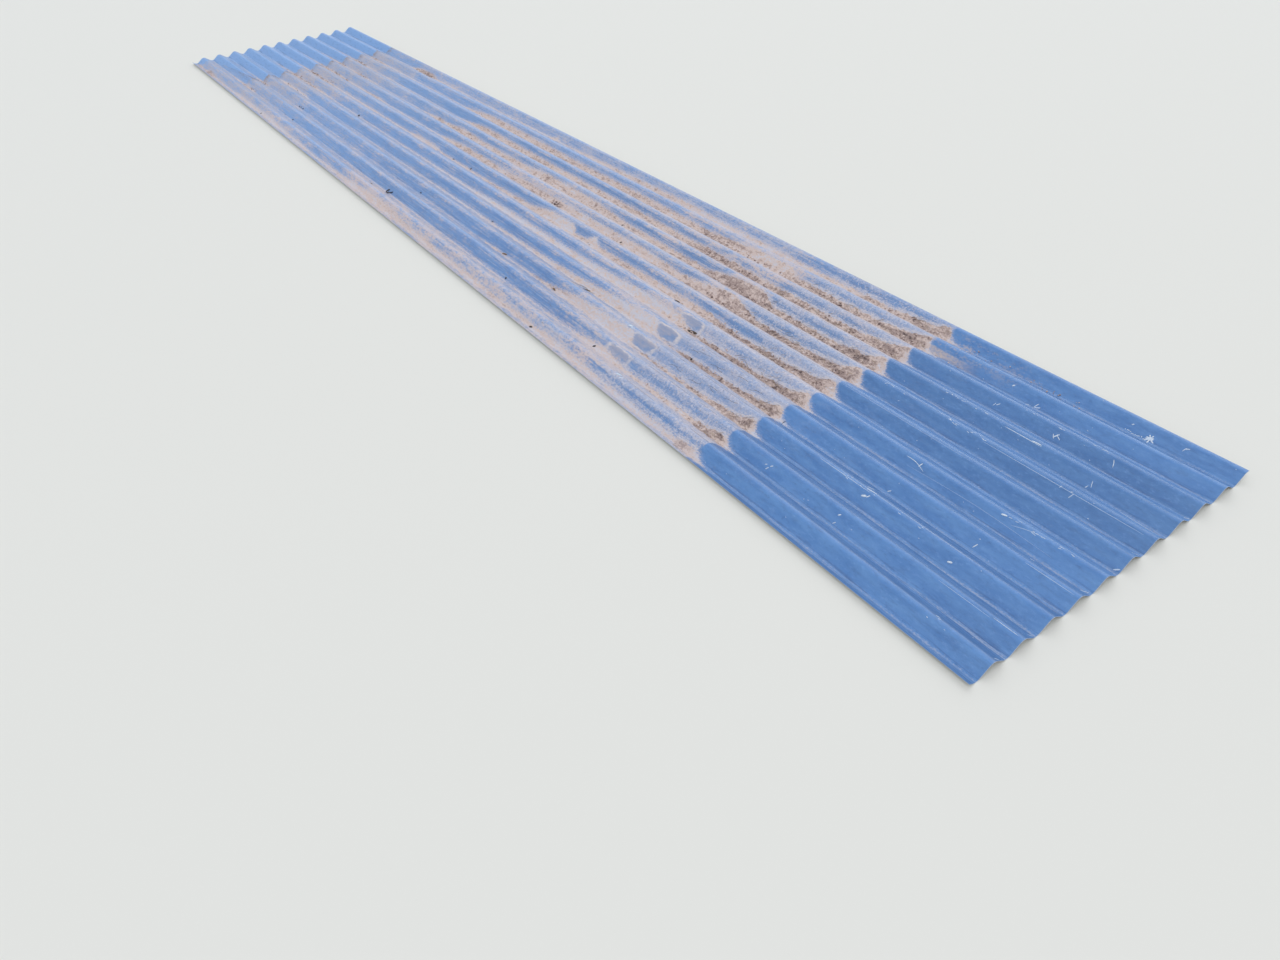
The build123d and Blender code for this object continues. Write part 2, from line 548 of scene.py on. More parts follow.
# %% Profiles of the crests
# distance in mm, dust on the flank before the crest, dust on it and on the flank after it, tan tint
crest_profiles = {
    0: [
        (0, .6, .6, .3), (525, .6, .6, .3), (685, .8, .7, .3), (1145, .75, .6, .3), (1605, .3, .4, .3),
        (1895, .3, .5, .4), (1995, .8, .8, .8), (2245, .9, .8, .7), (2445, .9, .8, .5),
        (3395, .85, .8, .2), (3487, .8, .9, .8), (3577, .4, .9, .5), (3724, .08, .9, .1),
        (3904, .12, .9, .3),
    ],
    1: [
        (0, .1, .05, 0), (525, .1, .1, 0), (550, .6, .7, .4), (790, .5, .6, .35), (1180, .15, .45, .1),
        (3090, .15, .45, .1), (3240, .2, .6, .2), (3492, .45, .95, .2), (3512, .25, .95, .2),
        (3597, .42, .8, .1), (3954, .5, .7, .1),
    ],
    2: [
        (0, .02, .02, 0), (525, .05, .05, 0), (550, .75, .85, .45), (790, .6, .65, .35),
        (1180, .25, .45, .1), (3082, .2, .45, .1), (3232, .2, .6, .1), (3492, .5, .95, .1),
        (3512, .15, .95, .2), (3577, .15, .95, .2), (3597, .44, .8, .05), (3954, .5, .78, .05),
    ],
    3: [
        (0, .02, .02, 0), (525, .05, .05, 0), (550, .85, .95, .5), (790, .65, .7, .4),
        (1180, .15, .45, .1), (3070, .1, .45, .1), (3270, .2, .55, .3), (3492, .6, .95, .4),
        (3512, .1, .95, .2), (3577, .2, .95, .2), (3597, .48, .88, .05), (3948, .53, .88, .05),
    ],
    4: [
        (0, .05, .05, 0), (525, .1, .1, 0), (550, .95, 1, .5), (790, .9, .9, .45), (1180, .3, .65, .2),
        (1520, .15, .5, .15), (2370, .15, .45, .1), (3020, .2, .6, .25), (3320, .35, .75, .3),
        (3492, .5, .9, .3), (3512, .3, .6, .2), (3577, .3, .6, .2), (3597, .5, .95, .15),
        (3948, .6, 1, .25),
    ],
    5: [
        (0, .02, .05, 0), (525, .05, .05, 0), (550, .95, 1, .5), (790, .75, .85, .45),
        (1180, .25, .65, .1), (1514, .2, .5, .2), (2814, .1, .5, .3), (3314, .2, .75, .4),
        (3483, .5, .9, .4), (3503, .1, .9, .3), (3718, .2, .9, .1), (3778, .55, .95, .1),
        (3948, .7, .95, .1),
    ],
    6: [
        (0, .02, .05, 0), (525, .05, .05, 0), (550, .95, 1, .5), (790, .7, .85, .45),
        (1180, .25, .65, .1), (1528, .2, .5, .2), (2228, .3, .6, .4), (2328, .8, .9, .8),
        (2728, .8, .9, .7), (2848, .15, .7, .4), (3378, .2, .85, .4), (3458, .9, .9, .9),
        (3528, .9, .9, .9), (3558, .2, .9, .5), (3818, .3, .95, .4), (3948, .6, .95, .4),
    ],
    7: [
        (0, .02, .05, 0), (525, .05, .05, 0), (550, 1, 1, .5), (790, .85, .95, .45),
        (1180, .4, .75, .1), (1538, .35, .6, .2), (1738, .3, .7, .3), (2638, .3, .6, .3),
        (2838, .1, .8, .6), (3338, .15, .9, .6), (3448, .9, .9, .9), (3528, .9, .9, .9),
        (3568, .3, .9, .6), (3818, .3, .95, .6), (3948, .5, .95, .6),
    ],
    8: [
        (0, .02, .05, 0), (525, .05, .05, 0), (550, 1, 1, .5), (790, .85, .95, .45),
        (1092, .15, .5, .1), (1692, .1, .4, .2), (2842, .15, .5, .4), (3042, .2, .9, .6),
        (3342, .55, .95, .6), (3528, .7, .95, .8), (3568, .4, .9, .6), (3818, .3, .95, .6),
        (3948, .5, .95, .6),
    ],
    9: [
        (0, .05, .05, 0), (525, .1, .1, 0), (550, 1, 1, .45), (790, .85, .95, .4), (1180, .3, .55, .1),
        (1642, .25, .5, .2), (2042, .2, .5, .1), (2942, .25, .5, .2), (3192, .4, .9, .6),
        (3508, .8, .95, .7), (3568, .4, .8, .4), (3718, .3, .8, .3), (3948, .5, .9, .5),
    ],
    10: [
        (0, .3, .1, .2), (525, .4, .2, .2), (550, .3, .5, .3), (790, .3, .5, .3), (1180, .6, .65, .2),
        (2342, .6, .6, .1), (3342, .6, .7, .2), (3428, .8, .9, .3), (3498, .3, .6, .3),
        (3758, .25, .5, .4), (3948, .25, .45, .5),
    ],
}
# the flank at the lap edge belongs to a crest that was cut away, and its dust is like that of crest 0
crest_rows = {**crest_profiles, -1: crest_profiles[0]}
print(len(crest_rows), "crests with", sum(len(rows) for rows in crest_rows.values()), "rows")

# %% [markdown]
# ## Reading a profile inside a material
#
# A material can't look up a Python list, but a colour ramp is a list: stops along a line, three numbers
# at each. One ramp is laid along each wave, with the distance as its input, and each point keeps only its
# own wave's ramp. Red, green and blue carry three different amounts here, which a later node takes apart
# again.

# %% A ramp along each wave


def along_each_wave(tree, number_field, distance, rows_of):
    """Three fields that follow the first three amounts of each wave's rows."""
    share = distance / sheet_length
    total = (0.0, 0.0, 0.0, 1.0)
    for number, rows in rows_of.items():
        node = tree.nodes.new("ShaderNodeValToRGB")
        plug(tree, node.inputs[0], share)
        stops = node.color_ramp.elements
        stops[0].position = rows[0][0] / sheet_length
        stops[1].position = rows[-1][0] / sheet_length
        for row in rows[1:-1]:
            stops.new(row[0] / sheet_length)
        for stop, row in zip(stops, rows):
            stop.color = (row[1], row[2], row[3], 1.0)
        here = do_sum(tree, "COMPARE", number_field, number, 0.5)
        total = mix(here, total, Field(tree, node.outputs["Color"]))
    parts = tree.nodes.new("ShaderNodeSeparateColor")
    tree.links.new(total.socket, parts.inputs[0])
    return [Field(tree, output) for output in parts.outputs]


print("a ramp for each of", len(trough_rows) + len(crest_rows), "troughs and crests")

# %% [markdown]
# ## Layers of a finish
#
# The painted face is a stack, as on the real sheet: paint, a bleached crest that also gets a painted
# highlight, dust, a film of mud, then marks. Each layer could be a shader of its own, mixed at the end,
# but forty shaders are slow and hard to export. So a Coat holds the colour and the roughness so far, and
# each layer is laid over what is there.

# %% The coat that the layers build up


class Coat:
    """The colour and roughness of a surface so far, and how many layers made it."""

    def __init__(self, tone, roughness):
        self.tone = tone
        self.roughness = roughness
        self.layers = 1

    def lay(self, amount, tone, roughness=None):
        """Lays a layer over the coat where amount is 1."""
        self.tone = mix(amount, self.tone, tone)
        if roughness is not None:
            self.roughness = self.roughness + (roughness - self.roughness) * amount
        self.layers += 1


print("a coat is ready for its layers")

# %% [markdown]
# ## Blue paint
#
# The colour coat was baked on before the sheet was rolled, and the sun has bleached it, most at the far
# end. The lighter blue towards the far end is partly that bleaching and partly a painted sheen. One plain
# blue would look like plastic from close by, and a picture of paint would bring its own dirt and light. So
# a wide cloud shifts the blue a little, a patchy one lightens it, and the middle waves are greyer.

# %% Blue paint
strong_blue = colour(74, 120, 178)
faded_blue = colour(84, 131, 190)
chalky_blue = colour(99, 144, 198)
greyed_blue = colour(56, 94, 140)
# the far end's blue: bleached paint with a painted sheen
bleached_and_sheen_blue = colour(124, 168, 222)
# the bleaching and the painted sheen grow from the first distance to the second
bleach_and_sheen_starts = 3300
bleach_and_sheen_full = 300


def blue_paint(ground):
    """The factory colour coat, a little uneven after years in the sun."""
    wide = ground.cloud(420, 60, 1)
    patchy = ground.cloud(60, 14, 2, detail=3.0)
    tone = mix(wide.rise(0.3, 0.7), strong_blue, faded_blue)
    tone = mix((patchy - 0.5) * 2.0 + 0.3, tone, chalky_blue)
    middle_waves = ground.wave.band(3.4, 5.6, 7.6, 9.3)
    tone = mix(middle_waves * 0.32, tone, greyed_blue)
    # lighter towards the far end: partly bleaching, partly painted sheen
    tone = mix(ground.distance.rise(bleach_and_sheen_starts, bleach_and_sheen_full) * 0.7, tone, bleached_and_sheen_blue)
    return Coat(tone, patchy * 0.25 + 0.28)


print("the paint is bleached most in the first", bleach_and_sheen_full, "mm and not past", bleach_and_sheen_starts, "mm")

# %% [markdown]
# ## What the rain leaves on the paint
#
# Rain runs over the crests, down the flanks and along the troughs, and leaves fine lines that follow the
# wave. They could be drawn on a texture, but chance doesn't place them, the wave does. So each line is
# worked out from how far a point is from the crest or the trough, and noise only makes the line waver and
# break. A fine speckle breaks up the blue between them. Light and shade are painted here too: a painted
# highlight along each crest, painted shade on the flank behind the crest on waves 0 to 3, and painted
# sheen on it on waves 4 to 9.

# %% Speckle, drips and trough lines
worn_pale = colour(120, 160, 214)
worn_dark = colour(50, 84, 132)
# the next two: painted shade and painted sheen on the flank behind a crest
shaded_falling_flank = colour(54, 92, 146)
sheen_falling_flank = colour(124, 174, 240)
# painted highlight: the lighter blue along each crest
crest_highlight_blue = colour(82, 138, 216)
dark_drip = colour(50, 86, 136)
pale_drip = colour(142, 176, 224)
dried_line = colour(142, 160, 194)
dark_line_beside_trough = colour(58, 90, 140)
grime_blue = colour(66, 96, 140)
drip_width = 1.7
# the painted highlight band along a crest, in waves from its top
highlight_start = -0.16
highlight_end = 0.07


def rain_lines(ground, coat):
    """The speckle, the painted highlight along each crest, painted shade and sheen on the flank behind it,
    the fine drips there, and the pale line along each trough.
    """
    speckle = ground.cloud(13, 7, 10, detail=5.0, roughness=0.75)
    coat.lay(speckle.rise(0.5, 0.72) * 0.42, worn_pale)
    coat.lay(speckle.rise(0.46, 0.26) * 0.38, worn_dark)
    fine = ground.cloud(5, 3, 3)
    drips = ground.cloud(700, drip_width, 5)
    behind = ground.off_crest.rise(0.03, 0.1)
    # painted shade: the flank behind the crest is darker on the first waves
    shaded_waves = ground.wave.rise(4.4, 2.6)
    coat.lay(behind * ground.off_crest.rise(0.4, 0.2) * shaded_waves * 0.4, shaded_falling_flank)
    # painted sheen: the flank behind the crest is lighter on the middle and last waves
    sheen_waves = ground.wave.band(3.2, 4.8, 7.8, 9.4)
    coat.lay(behind * sheen_waves * 0.34, sheen_falling_flank)
    # painted highlight along each crest, broken up by fine noise
    crest_highlight_band = ground.off_crest.band(highlight_start, -0.01, 0.03, highlight_end)
    coat.lay(crest_highlight_band * (fine * 0.9 - 0.3), crest_highlight_blue)
    coat.lay(behind * drips.rise(0.6, 0.4) * 0.3, dark_drip)
    coat.lay(behind * drips.rise(0.55, 0.66) * 0.4, pale_drip)
    wander = ground.cloud(160, 7, 7, detail=4.0, roughness=0.65) - 0.5
    from_line = (ground.uphill + wander * 0.32).size()
    line = from_line.rise(0.1, 0.0)
    coat.lay(line * (fine * 4.0 + wander * 6.0 - 1.9), dried_line, 0.6)
    # a dark line on both sides of the pale trough line
    beside = from_line.band(0.05, 0.075, 0.085, 0.11)
    coat.lay(beside * (wander * 3.0 + 0.35), dark_line_beside_trough, 0.6)
    grime = ground.cloud(34, 9, 8, detail=4.0, roughness=0.7).rise(0.5, 0.68)
    coat.lay(grime * 0.26, grime_blue, 0.6)


highlight_width = (highlight_end - highlight_start) * wave_pitch
print("a drip is", drip_width, "mm wide, and the band on a crest is", round(highlight_width), "mm wide")

# %% [markdown]
# ## The colour of the dust
#
# Dust isn't one grey. It is tan where it was clay, bluish where the paint shows through it, paler on some
# waves, and nearly white where it lies in grains. A picture of dust would also hold the light of its own
# day. So the tone is mixed from a few plain colours, each with a place of its own and a noise that breaks
# it up.

# %% Colour of the dust
frost_from = 3596.0
dust_haze = colour(148, 165, 200)
grey_dust = colour(180, 185, 205)
tan_dust = colour(212, 194, 189)
old_dust = colour(172, 173, 187)
thin_dust = colour(136, 152, 190)
pale_dust = colour(228, 218, 220)
frost_grain = colour(220, 217, 228)
frost_gap = colour(126, 142, 184)


def dust_tones(ground, tan, mottle, blotches, grains, frosty):
    """The colour of the dust from place to place."""
    by_wave = ground.wave.rise(5.4, 4.2) * 0.32 - 0.16
    tint = (tan + by_wave + (blotches - 0.5) * 2.8 + (mottle - 0.5) * 2.6).rise(0.1, 0.9)
    tint = tint - tint * frosty * ground.off_crest.rise(0.05, -0.1) * 0.6
    tone = mix(tint, grey_dust, tan_dust)
    tone = mix(ground.distance.rise(1150, 850) * 0.6, tone, old_dust)
    tone = mix(mottle.rise(0.5, 0.36) * 0.6, tone, thin_dust)
    pale_waves = ground.wave.rise(3.9, 4.1) + 0.4
    before_batten = ground.wave.rise(3.5, 7.5) * ground.distance.rise(3000, 3400) * (1.0 - frosty)
    pale_waves = pale_waves - before_batten * 0.9
    pale_waves = pale_waves * ground.distance.rise(2000, 2800) * ground.off_crest.rise(0.0, 0.1)
    tone = mix(pale_waves * 0.5, tone, pale_dust)
    tone = mix(frosty * grains.rise(0.5, 0.66) * 0.75, tone, frost_grain)
    return mix(frosty * grains.rise(0.5, 0.36) * 0.6, tone, frost_gap)


print("dust turns to pale grains from", frost_from, "mm on")

# %% [markdown]
# ## Dust between the lap lines
#
# Other sheets once lay over both ends, so only the middle gathered dust, and each lap line is a sharp
# change. One noise as a mask would do from far off, but real dust shows streaks, blotches and grains at
# the same time. So all three are added to the amount from the crest's profile, and only then is the sum
# cut to bare and covered. Before the near lap line the dust is granular and nearly white, like frost, and
# it runs down the flanks.

# %% Dust


def dust_film(ground, coat, dirty):
    """Grey and tan dust, and pale grains near the second lap line. Dirty is 1 between the lines."""
    left_dust, right_dust, tan = along_each_wave(ground.tree, ground.crest, ground.distance, crest_rows)
    side = (ground.off_crest + ground.cloud(40, 8, 14) * 0.12 - 0.06).rise(-0.2, -0.05)
    dust = left_dust + (right_dust - left_dust) * side
    streaks = ground.cloud(170, 4.5, 11, detail=4.0, roughness=0.65)
    blotches = ground.cloud(90, 26, 12, detail=5.0, roughness=0.65)
    mottle = ground.cloud(11, 7, 13, detail=5.0, roughness=0.8)
    smooth_part = streaks * 2.0 - 1.0 + (blotches * 3.2 + mottle * 4.0 - 3.6) * (dust * 0.9 + 0.14)
    grains = ground.cloud(6, 7, 15, detail=5.0, roughness=0.85)
    stretch = ground.cloud(80, 34, 16, detail=3.0)
    frosty = ground.distance.rise(frost_from - 40, frost_from + 30)
    silted = ground.crest.band(1.4, 1.6, 3.4, 3.6) * ground.off_crest.rise(0.0, -0.05)
    frost = grains * 4.2 + stretch * 2.4 - 3.3
    frost = frost - frost * silted * 0.6
    uneven = smooth_part + (frost - smooth_part) * frosty
    amount = (dust + uneven).rise(0.0, 1.0) * dirty
    tone = dust_tones(ground, tan, mottle, blotches, grains, frosty)
    coat.lay(dust * dirty * (frosty * 0.36 + 0.42), dust_haze, 0.7)
    coat.lay(amount * 0.86, tone, 0.9)
    small_dirt(ground, coat, dirty, mottle, blotches, grains, stretch, frosty)


print("dust lies from", far_lap_line, "to", near_lap_line, "mm")

# %% [markdown]
# ## Hairs, specks and rubbed crests
#
# In the dust lie threads that water drew along the waves, dark specks, and a line of coarse dirt at the
# far lap line. Feet and other sheets rubbed the crests bare again, and these bare crests are laid lighter
# than the paint as a painted sheen. Meshes for these would be far below a millimetre high. So each is one
# more layer of the coat, fine noise that is cut close to its top or its bottom.

# %% Small dirt in the dust
pale_hair = colour(196, 202, 218)
dark_hair = colour(118, 128, 156)
dark_speck = colour(132, 112, 102)
rubbed_sheen_blue = colour(158, 190, 238)
coarse_dirt = colour(126, 118, 126)
dark_line_past_crest = colour(104, 108, 130)
# how far past the far lap line the coarse dirt lies, in mm
coarse_dirt_width = 50


def small_dirt(ground, coat, dirty, mottle, blotches, grains, stretch, frosty):
    """Hairs, specks, worn crests with a painted sheen, coarse dirt at the far lap line and a dark line
    just past each crest in the pale dust.
    """
    hairs = ground.cloud(120, 1.6, 17, detail=3.0, roughness=0.6)
    coat.lay(hairs.rise(0.56, 0.66) * dirty * 0.35, pale_hair, 0.8)
    coat.lay(hairs.rise(0.44, 0.34) * dirty * 0.3, dark_hair, 0.8)
    coat.lay(ground.cloud(4.5, 3.2, 18).rise(0.62, 0.7) * dirty * 0.5, dark_speck, 0.95)
    # painted sheen: worn crests are laid lighter than the paint
    rubbed = (ground.off_crest - 0.01).size().rise(0.12, 0.03) * ground.distance.rise(900, 1300)
    rubbed = rubbed * (ground.distance.rise(2900, 2300) * 0.18 + 0.14)
    coat.lay(rubbed * grains.rise(0.3, 0.6) * dirty, rubbed_sheen_blue, 0.5)
    first_dirt = ground.distance.rise(far_lap_line + coarse_dirt_width, far_lap_line)
    first_dirt = first_dirt * ground.wave.rise(0.6, 1.1) * dirty
    coat.lay(first_dirt * (mottle * 5.0 + blotches * 2.0 - 3.1), coarse_dirt, 0.95)
    # a dark line just past each crest in the pale dust
    past_crest_mask = (ground.off_crest - 0.07).size().rise(0.02, 0.008)
    coat.lay(past_crest_mask * frosty * dirty * stretch.rise(0.42, 0.58) * 0.6, dark_line_past_crest, 0.9)


print("coarse dirt lies within", coarse_dirt_width, "mm of the far lap line")

# %% [markdown]
# ## Marks of a batten
#
# A batten lay across the sheet for a while. Four flanks stayed cleaner under it, each with a torn pale
# rim. A stencil would be a picture file, and a mesh would be thicker than a rim of dust. So each mark is
# a rounded box, worked out from the distance and the place on the flank, and torn by noise.

# %% Marks of a batten
batten_middle = (batten_near + batten_far) / 2
batten_half = (batten_far - batten_near) / 2
batten_dust = colour(162, 164, 182)
washed_blue = colour(108, 141, 188)
rim_dust = colour(208, 202, 206)


def batten_marks(ground, coat):
    """Where a batten lay, four flanks kept a cleaner patch with a broken pale rim around it."""
    along = (ground.distance - batten_middle) / batten_half
    down = (ground.off_crest + 0.24) / 0.18
    torn = ground.cloud(26, 16, 16, detail=5.0, roughness=0.7) - 0.5
    out = do_sum(ground.tree, "POWER", along * along * along * along + down * down * down * down, 0.25)
    out = out + torn * 0.8
    four = ground.crest.band(0.4, 0.6, 4.4, 4.6) * ground.off_crest.rise(0.02, 0.0)
    coat.lay(out.rise(1.15, 0.7) * four * 0.7, batten_dust, 0.9)
    lower_end = (down * -0.6 + along * 0.35 + torn * 3.0 + 0.05).rise(0.0, 0.6)
    coat.lay(out.rise(1.05, 0.7) * four * lower_end * 0.7, washed_blue, 0.6)
    rim = out.band(0.84, 1.0, 1.1, 1.3) * four
    coat.lay(rim * (torn * 3.5 + 0.7), rim_dust, 0.9)


print("the batten was", batten_far - batten_near, "mm wide")

# %% [markdown]
# ## Dust that blew onto the clean end
#
# Past the near lap line the paint is nearly clean, but wind carried some dust over the line, into the
# last troughs. Loose grains could be scattered as bodies, but they are finer than the steel is thick and
# cover half a metre. So they are a thin layer that grows less with the distance, with one denser tongue
# where a pile spilled over.

# %% Blown dust
blown_grains = colour(176, 172, 182)
spilled_sand = colour(194, 180, 176)


def blown_dust(ground, coat):
    """Dust beyond the near lap line, thick in the last troughs and thin elsewhere."""
    beyond = ground.distance.rise(near_lap_line - 4, near_lap_line + 12)
    thinning = ground.distance.rise(near_lap_line + 460, near_lap_line + 30)
    side = ground.wave.band(8.5, 9.1, 9.7, 9.95) + 0.08
    grains = ground.cloud(7, 5, 61, detail=5.0, roughness=0.8)
    patches = ground.cloud(70, 24, 62, detail=3.0)
    amount = (grains + patches * 0.7).rise(0.84, 1.02)
    coat.lay(amount * beyond * thinning * side * 0.8, blown_grains, 0.9)
    tongue = (ground.wave + patches * 0.2 - 8.74).size().rise(0.15, 0.07)
    tongue = tongue * ground.distance.rise(near_lap_line + 190, near_lap_line + 60)
    coat.lay(tongue * beyond * (grains * 3.0 + patches * 2.0 - 1.7), spilled_sand, 0.95)


print("the clean end is", round(sheet_length - near_lap_line), "mm long")

# %% [markdown]
# ## The thin film of mud
#
# Around each body of mud the water left a film with no thickness to speak of, ragged at its upper edge. A
# mesh that thin would flicker against the paint, because both would lie at the same height. So the film
# is a layer of the coat. It reads the same trough profiles as the bodies do, and both end together.

# %% Mud film
grey_silt = colour(204, 203, 214)
pale_clay = colour(210, 192, 186)
tan_clay = colour(166, 147, 143)
# dark clay, also used as painted shade in the gaps between clods
dark_clay_and_gap_shade = colour(92, 79, 80)
silt_halo = colour(190, 190, 206)
silt_rim = colour(208, 204, 212)
# how far up a flank the mud goes where its reach is 1, and where it is 0, in waves
film_reach = 0.44
film_least = 0.05


def mud_tone(ground, brown):
    """The colour of dried mud, from pale silt through pinkish tan to dark brown, which the gaps between
    clods get as painted shade.
    """
    crumbs = ground.cloud(8, 5, 21, detail=5.0, roughness=0.75)
    patches = ground.cloud(60, 12, 22, detail=3.0)
    shade = brown + (crumbs - 0.5) * 2.6 + (patches - 0.5) * 1.4
    tone = mix(shade.rise(-0.1, 0.4), grey_silt, pale_clay)
    tone = mix(shade.rise(0.45, 1.0), tone, tan_clay)
    return mix(shade.rise(1.0, 1.6), tone, dark_clay_and_gap_shade)


def mud_film(ground, coat):
    """The thin edge of the mud, where it is too thin to have a mesh of its own."""
    cover, reach, brown = along_each_wave(ground.tree, ground.trough, ground.distance, trough_rows)
    ragged = ground.cloud(26, 5, 23, detail=4.0, roughness=0.6) - 0.5
    torn = ground.cloud(6, 2.5, 24, detail=3.0, roughness=0.6) - 0.5
    place = ground.uphill + ragged * 0.3
    top = reach * film_reach + film_least
    inside = (top - place) * 12.0
    inside = inside.least((place + 0.11) * 16.0).least(2.2)
    inside = inside + ragged * 3.0 + torn * 4.5 + cover * 2.6 - 2.2
    halo = inside.rise(-1.6, 0.6) * cover
    coat.lay(halo * 0.5, silt_halo, 0.9)
    coat.lay(inside.rise(-0.3, 1.0) * cover.rise(0.0, 0.3) * 0.9, mud_tone(ground, brown), 0.95)
    rim = (place - top).band(-0.04, 0.0, 0.03, 0.09) * cover
    frosty = ground.distance.band(frost_from - 60, frost_from, near_lap_line - 10, near_lap_line + 10)
    coat.lay(rim * frosty * (torn * 3.0 + 0.55), silt_rim, 0.95)


print("a film can reach", round((film_reach + film_least) * wave_pitch), "mm sideways from its trough")

# %% [markdown]
# ## The hidden side and the cut edges
#
# The side that lies down has a thin grey backing coat, and the four cut edges show bare zinc. A second
# material would need its own faces, and the mesh from the CAD program isn't changed. So the one material
# asks which way a face points, and how near it is to an edge.

# %% The hidden side and the cut edges
backing_grey = colour(168, 172, 174)
bare_zinc = colour(176, 186, 200)
# how far in from an edge the bare metal shows, in mm
zinc_width = 0.6


def backing_coat(tree, coat):
    """The side that lies on the floor has a thin pale grey coat."""
    facing = tree.nodes.new("ShaderNodeNewGeometry")
    parts = tree.nodes.new("ShaderNodeSeparateXYZ")
    tree.links.new(facing.outputs["Normal"], parts.inputs[0])
    below = Field(tree, parts.outputs["Z"]).rise(-0.2, -0.35)
    coat.lay(below, backing_grey, 0.5)


def cut_edges(ground, coat):
    """The rolled strip was cut with shears, so a hair of bare zinc shows at both ends and both sides."""
    half_length = sheet_length / 2
    from_middle = (ground.distance - half_length).size()
    ends = from_middle.rise(half_length - 1.5 * zinc_width, half_length - 0.5 * zinc_width)
    starts = zinc_width / wave_pitch
    full = 0.4 * starts
    lap_side = ground.wave.rise(lap_edge_wave + starts, lap_edge_wave + full)
    plain_side = ground.wave.rise(plain_edge_wave - starts, plain_edge_wave - full)
    bare = ends.most(lap_side).most(plain_side)
    coat.lay(bare * 0.8, bare_zinc, 0.45)


print("bare zinc shows", zinc_width, "mm wide along the sides")

# %% [markdown]
# ## All layers on the sheet
#
# The layers go on in the order the real sheet got them: paint, rain lines, dust, the batten, blown dust,
# mud. Where a lap line ran is not a straight cut, so both lines wander, and the far one slants down each
# flank. A displacement of the mesh would change the sheet's true shape. So a low bump gives the dust its
# grain, while the waves stay exactly those of the CAD part.

# %% The painted sheet


def weathered_paint():
    """The whole finish of the sheet."""
    material, tree, shader, ground = new_material("weathered_blue_paint")
    coat = blue_paint(ground)
    rain_lines(ground, coat)
    wobble = ground.cloud(30, 12, 31, detail=3.0) - 0.5
    far_edge = ground.off_crest.rise(-0.1, 0.35) * -45.0 + far_lap_line + wobble * 44.0
    far_edge = far_edge - ground.wave.rise(1.2, 0.5) * 470.0
    near_edge = ground.wave * near_lap_slant + near_lap_line + wobble * 9.0
    dirty = (ground.distance - far_edge).rise(-6, 8) * (ground.distance - near_edge).rise(3, -3)
    dust_film(ground, coat, dirty)
    batten_marks(ground, coat)
    blown_dust(ground, coat)
    mud_film(ground, coat)
    cut_edges(ground, coat)
    backing_coat(tree, coat)
    dress(tree, shader, coat.tone, coat.roughness)
    far = far_lap_line
    near = near_lap_line
    in_dirt = ground.distance.band(far - 20, far + 20, near, near + 20)
    waviness = ground.cloud(420, 60, 1) * 0.6
    frosty = ground.distance.rise(frost_from - 40, frost_from + 30) * in_dirt
    grain = ground.cloud(6, 5, 41, detail=4.0, roughness=0.7) * (in_dirt * 0.5 + frosty * 0.9 + 0.05)
    raise_bumps(tree, shader, waviness + grain)
    print("paint:", coat.layers, "layers from", len(tree.nodes), "nodes")
    return material


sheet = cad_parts["corrugated_sheet"]
sheet.data.materials.clear()
sheet.data.materials.append(weathered_paint())

# %% [markdown]
# ## Small solid bodies
#
# Mud, crumbs, straw and even a scratch have a thickness, so each is a small closed body, not a picture on
# the paint. They could be modelled one at a time in the viewport, but there are thousands of them and all
# lie on a curved face. Nearly all have one shape in common: rings of points, one behind the other, joined
# by quads and capped at both ends.

# %% Rings


def ring_faces(rings, count):
    """Quads between neighbouring rings of count points, and a cap over the first and the last ring."""
    faces = []
    for ring in range(rings - 1):
        start = ring * count
        for point in range(count):
            after = (point + 1) % count
            faces.append((start + point, start + after, start + count + after, start + count + point))
    faces.append(tuple(reversed(range(count))))
    faces.append(tuple((rings - 1) * count + point for point in range(count)))
    return faces


print("a plain block of two rings has", len(ring_faces(2, 4)), "faces")

# %% [markdown]
# ## Heaps
#
# There are more than two thousand crumbs, roots and flecks. Each could be an object of its own, but the
# list of the scene would be endless and the export slow. So a Heap gathers such bodies into one mesh, and
# keeps for each point how brown the stuff is there. It also holds every point above the floor and close
# to the crests at most, so that what lies on the sheet doesn't make it much bigger.

# %% Heaps
lowest_point = 0.1
highest_point = sheet_height + 0.5


class Heap:
    """Many small closed bodies that become one mesh."""

    def __init__(self):
        self.points = []
        self.faces = []
        self.browns = []
        self.count = 0

    def add(self, points, faces, brown):
        """Adds one body. Brown is one number for all of it, or one for each of its points."""
        self.faces += [tuple(index + self.count for index in face) for face in faces]
        points = np.array(points, float)
        points[:, 2] = np.clip(points[:, 2], lowest_point * MM, highest_point * MM)
        self.points.append(points)
        self.browns.append(np.broadcast_to(brown, len(points)).astype(float))
        self.count += len(points)

    def piece(self, name, material, smooth=True):
        """Makes the mesh, lets it ride on the sheet and says how large it is."""
        mesh = bpy.data.meshes.new(name)
        mesh.from_pydata(np.concatenate(self.points).tolist(), [], self.faces)
        tint = mesh.attributes.new("brown", "FLOAT", "POINT")
        tint.data.foreach_set("value", np.concatenate(self.browns))
        mesh.polygons.foreach_set("use_smooth", [smooth] * len(mesh.polygons))
        mesh.materials.append(material)
        thing = bpy.data.objects.new(name, mesh)
        scene.collection.objects.link(thing)
        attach(thing, "root")
        triangles = sum(len(face) - 2 for face in self.faces)
        top = max(points[:, 2].max() for points in self.points) / MM
        print(name, "has", triangles, "triangles, top at", round(top, 2), "mm")


print("a heap holds its points between", lowest_point, "and", round(highest_point, 2), "mm")

# %% [markdown]
# ## Lumps and clods
#
# Dried mud is lumpy at several sizes, and where it broke up it lies in clods with gaps between them.
# Sculpting would give that once, for one pile. A noise gives it anywhere, and always in the same way.
# Soft lumps come from a fractal noise, and clods from a Voronoi pattern, which knows the middle of each
# cell.

# %% Lumps and clods
from mathutils import noise


# how many finer noises are added to the coarse one
lump_octaves = 3


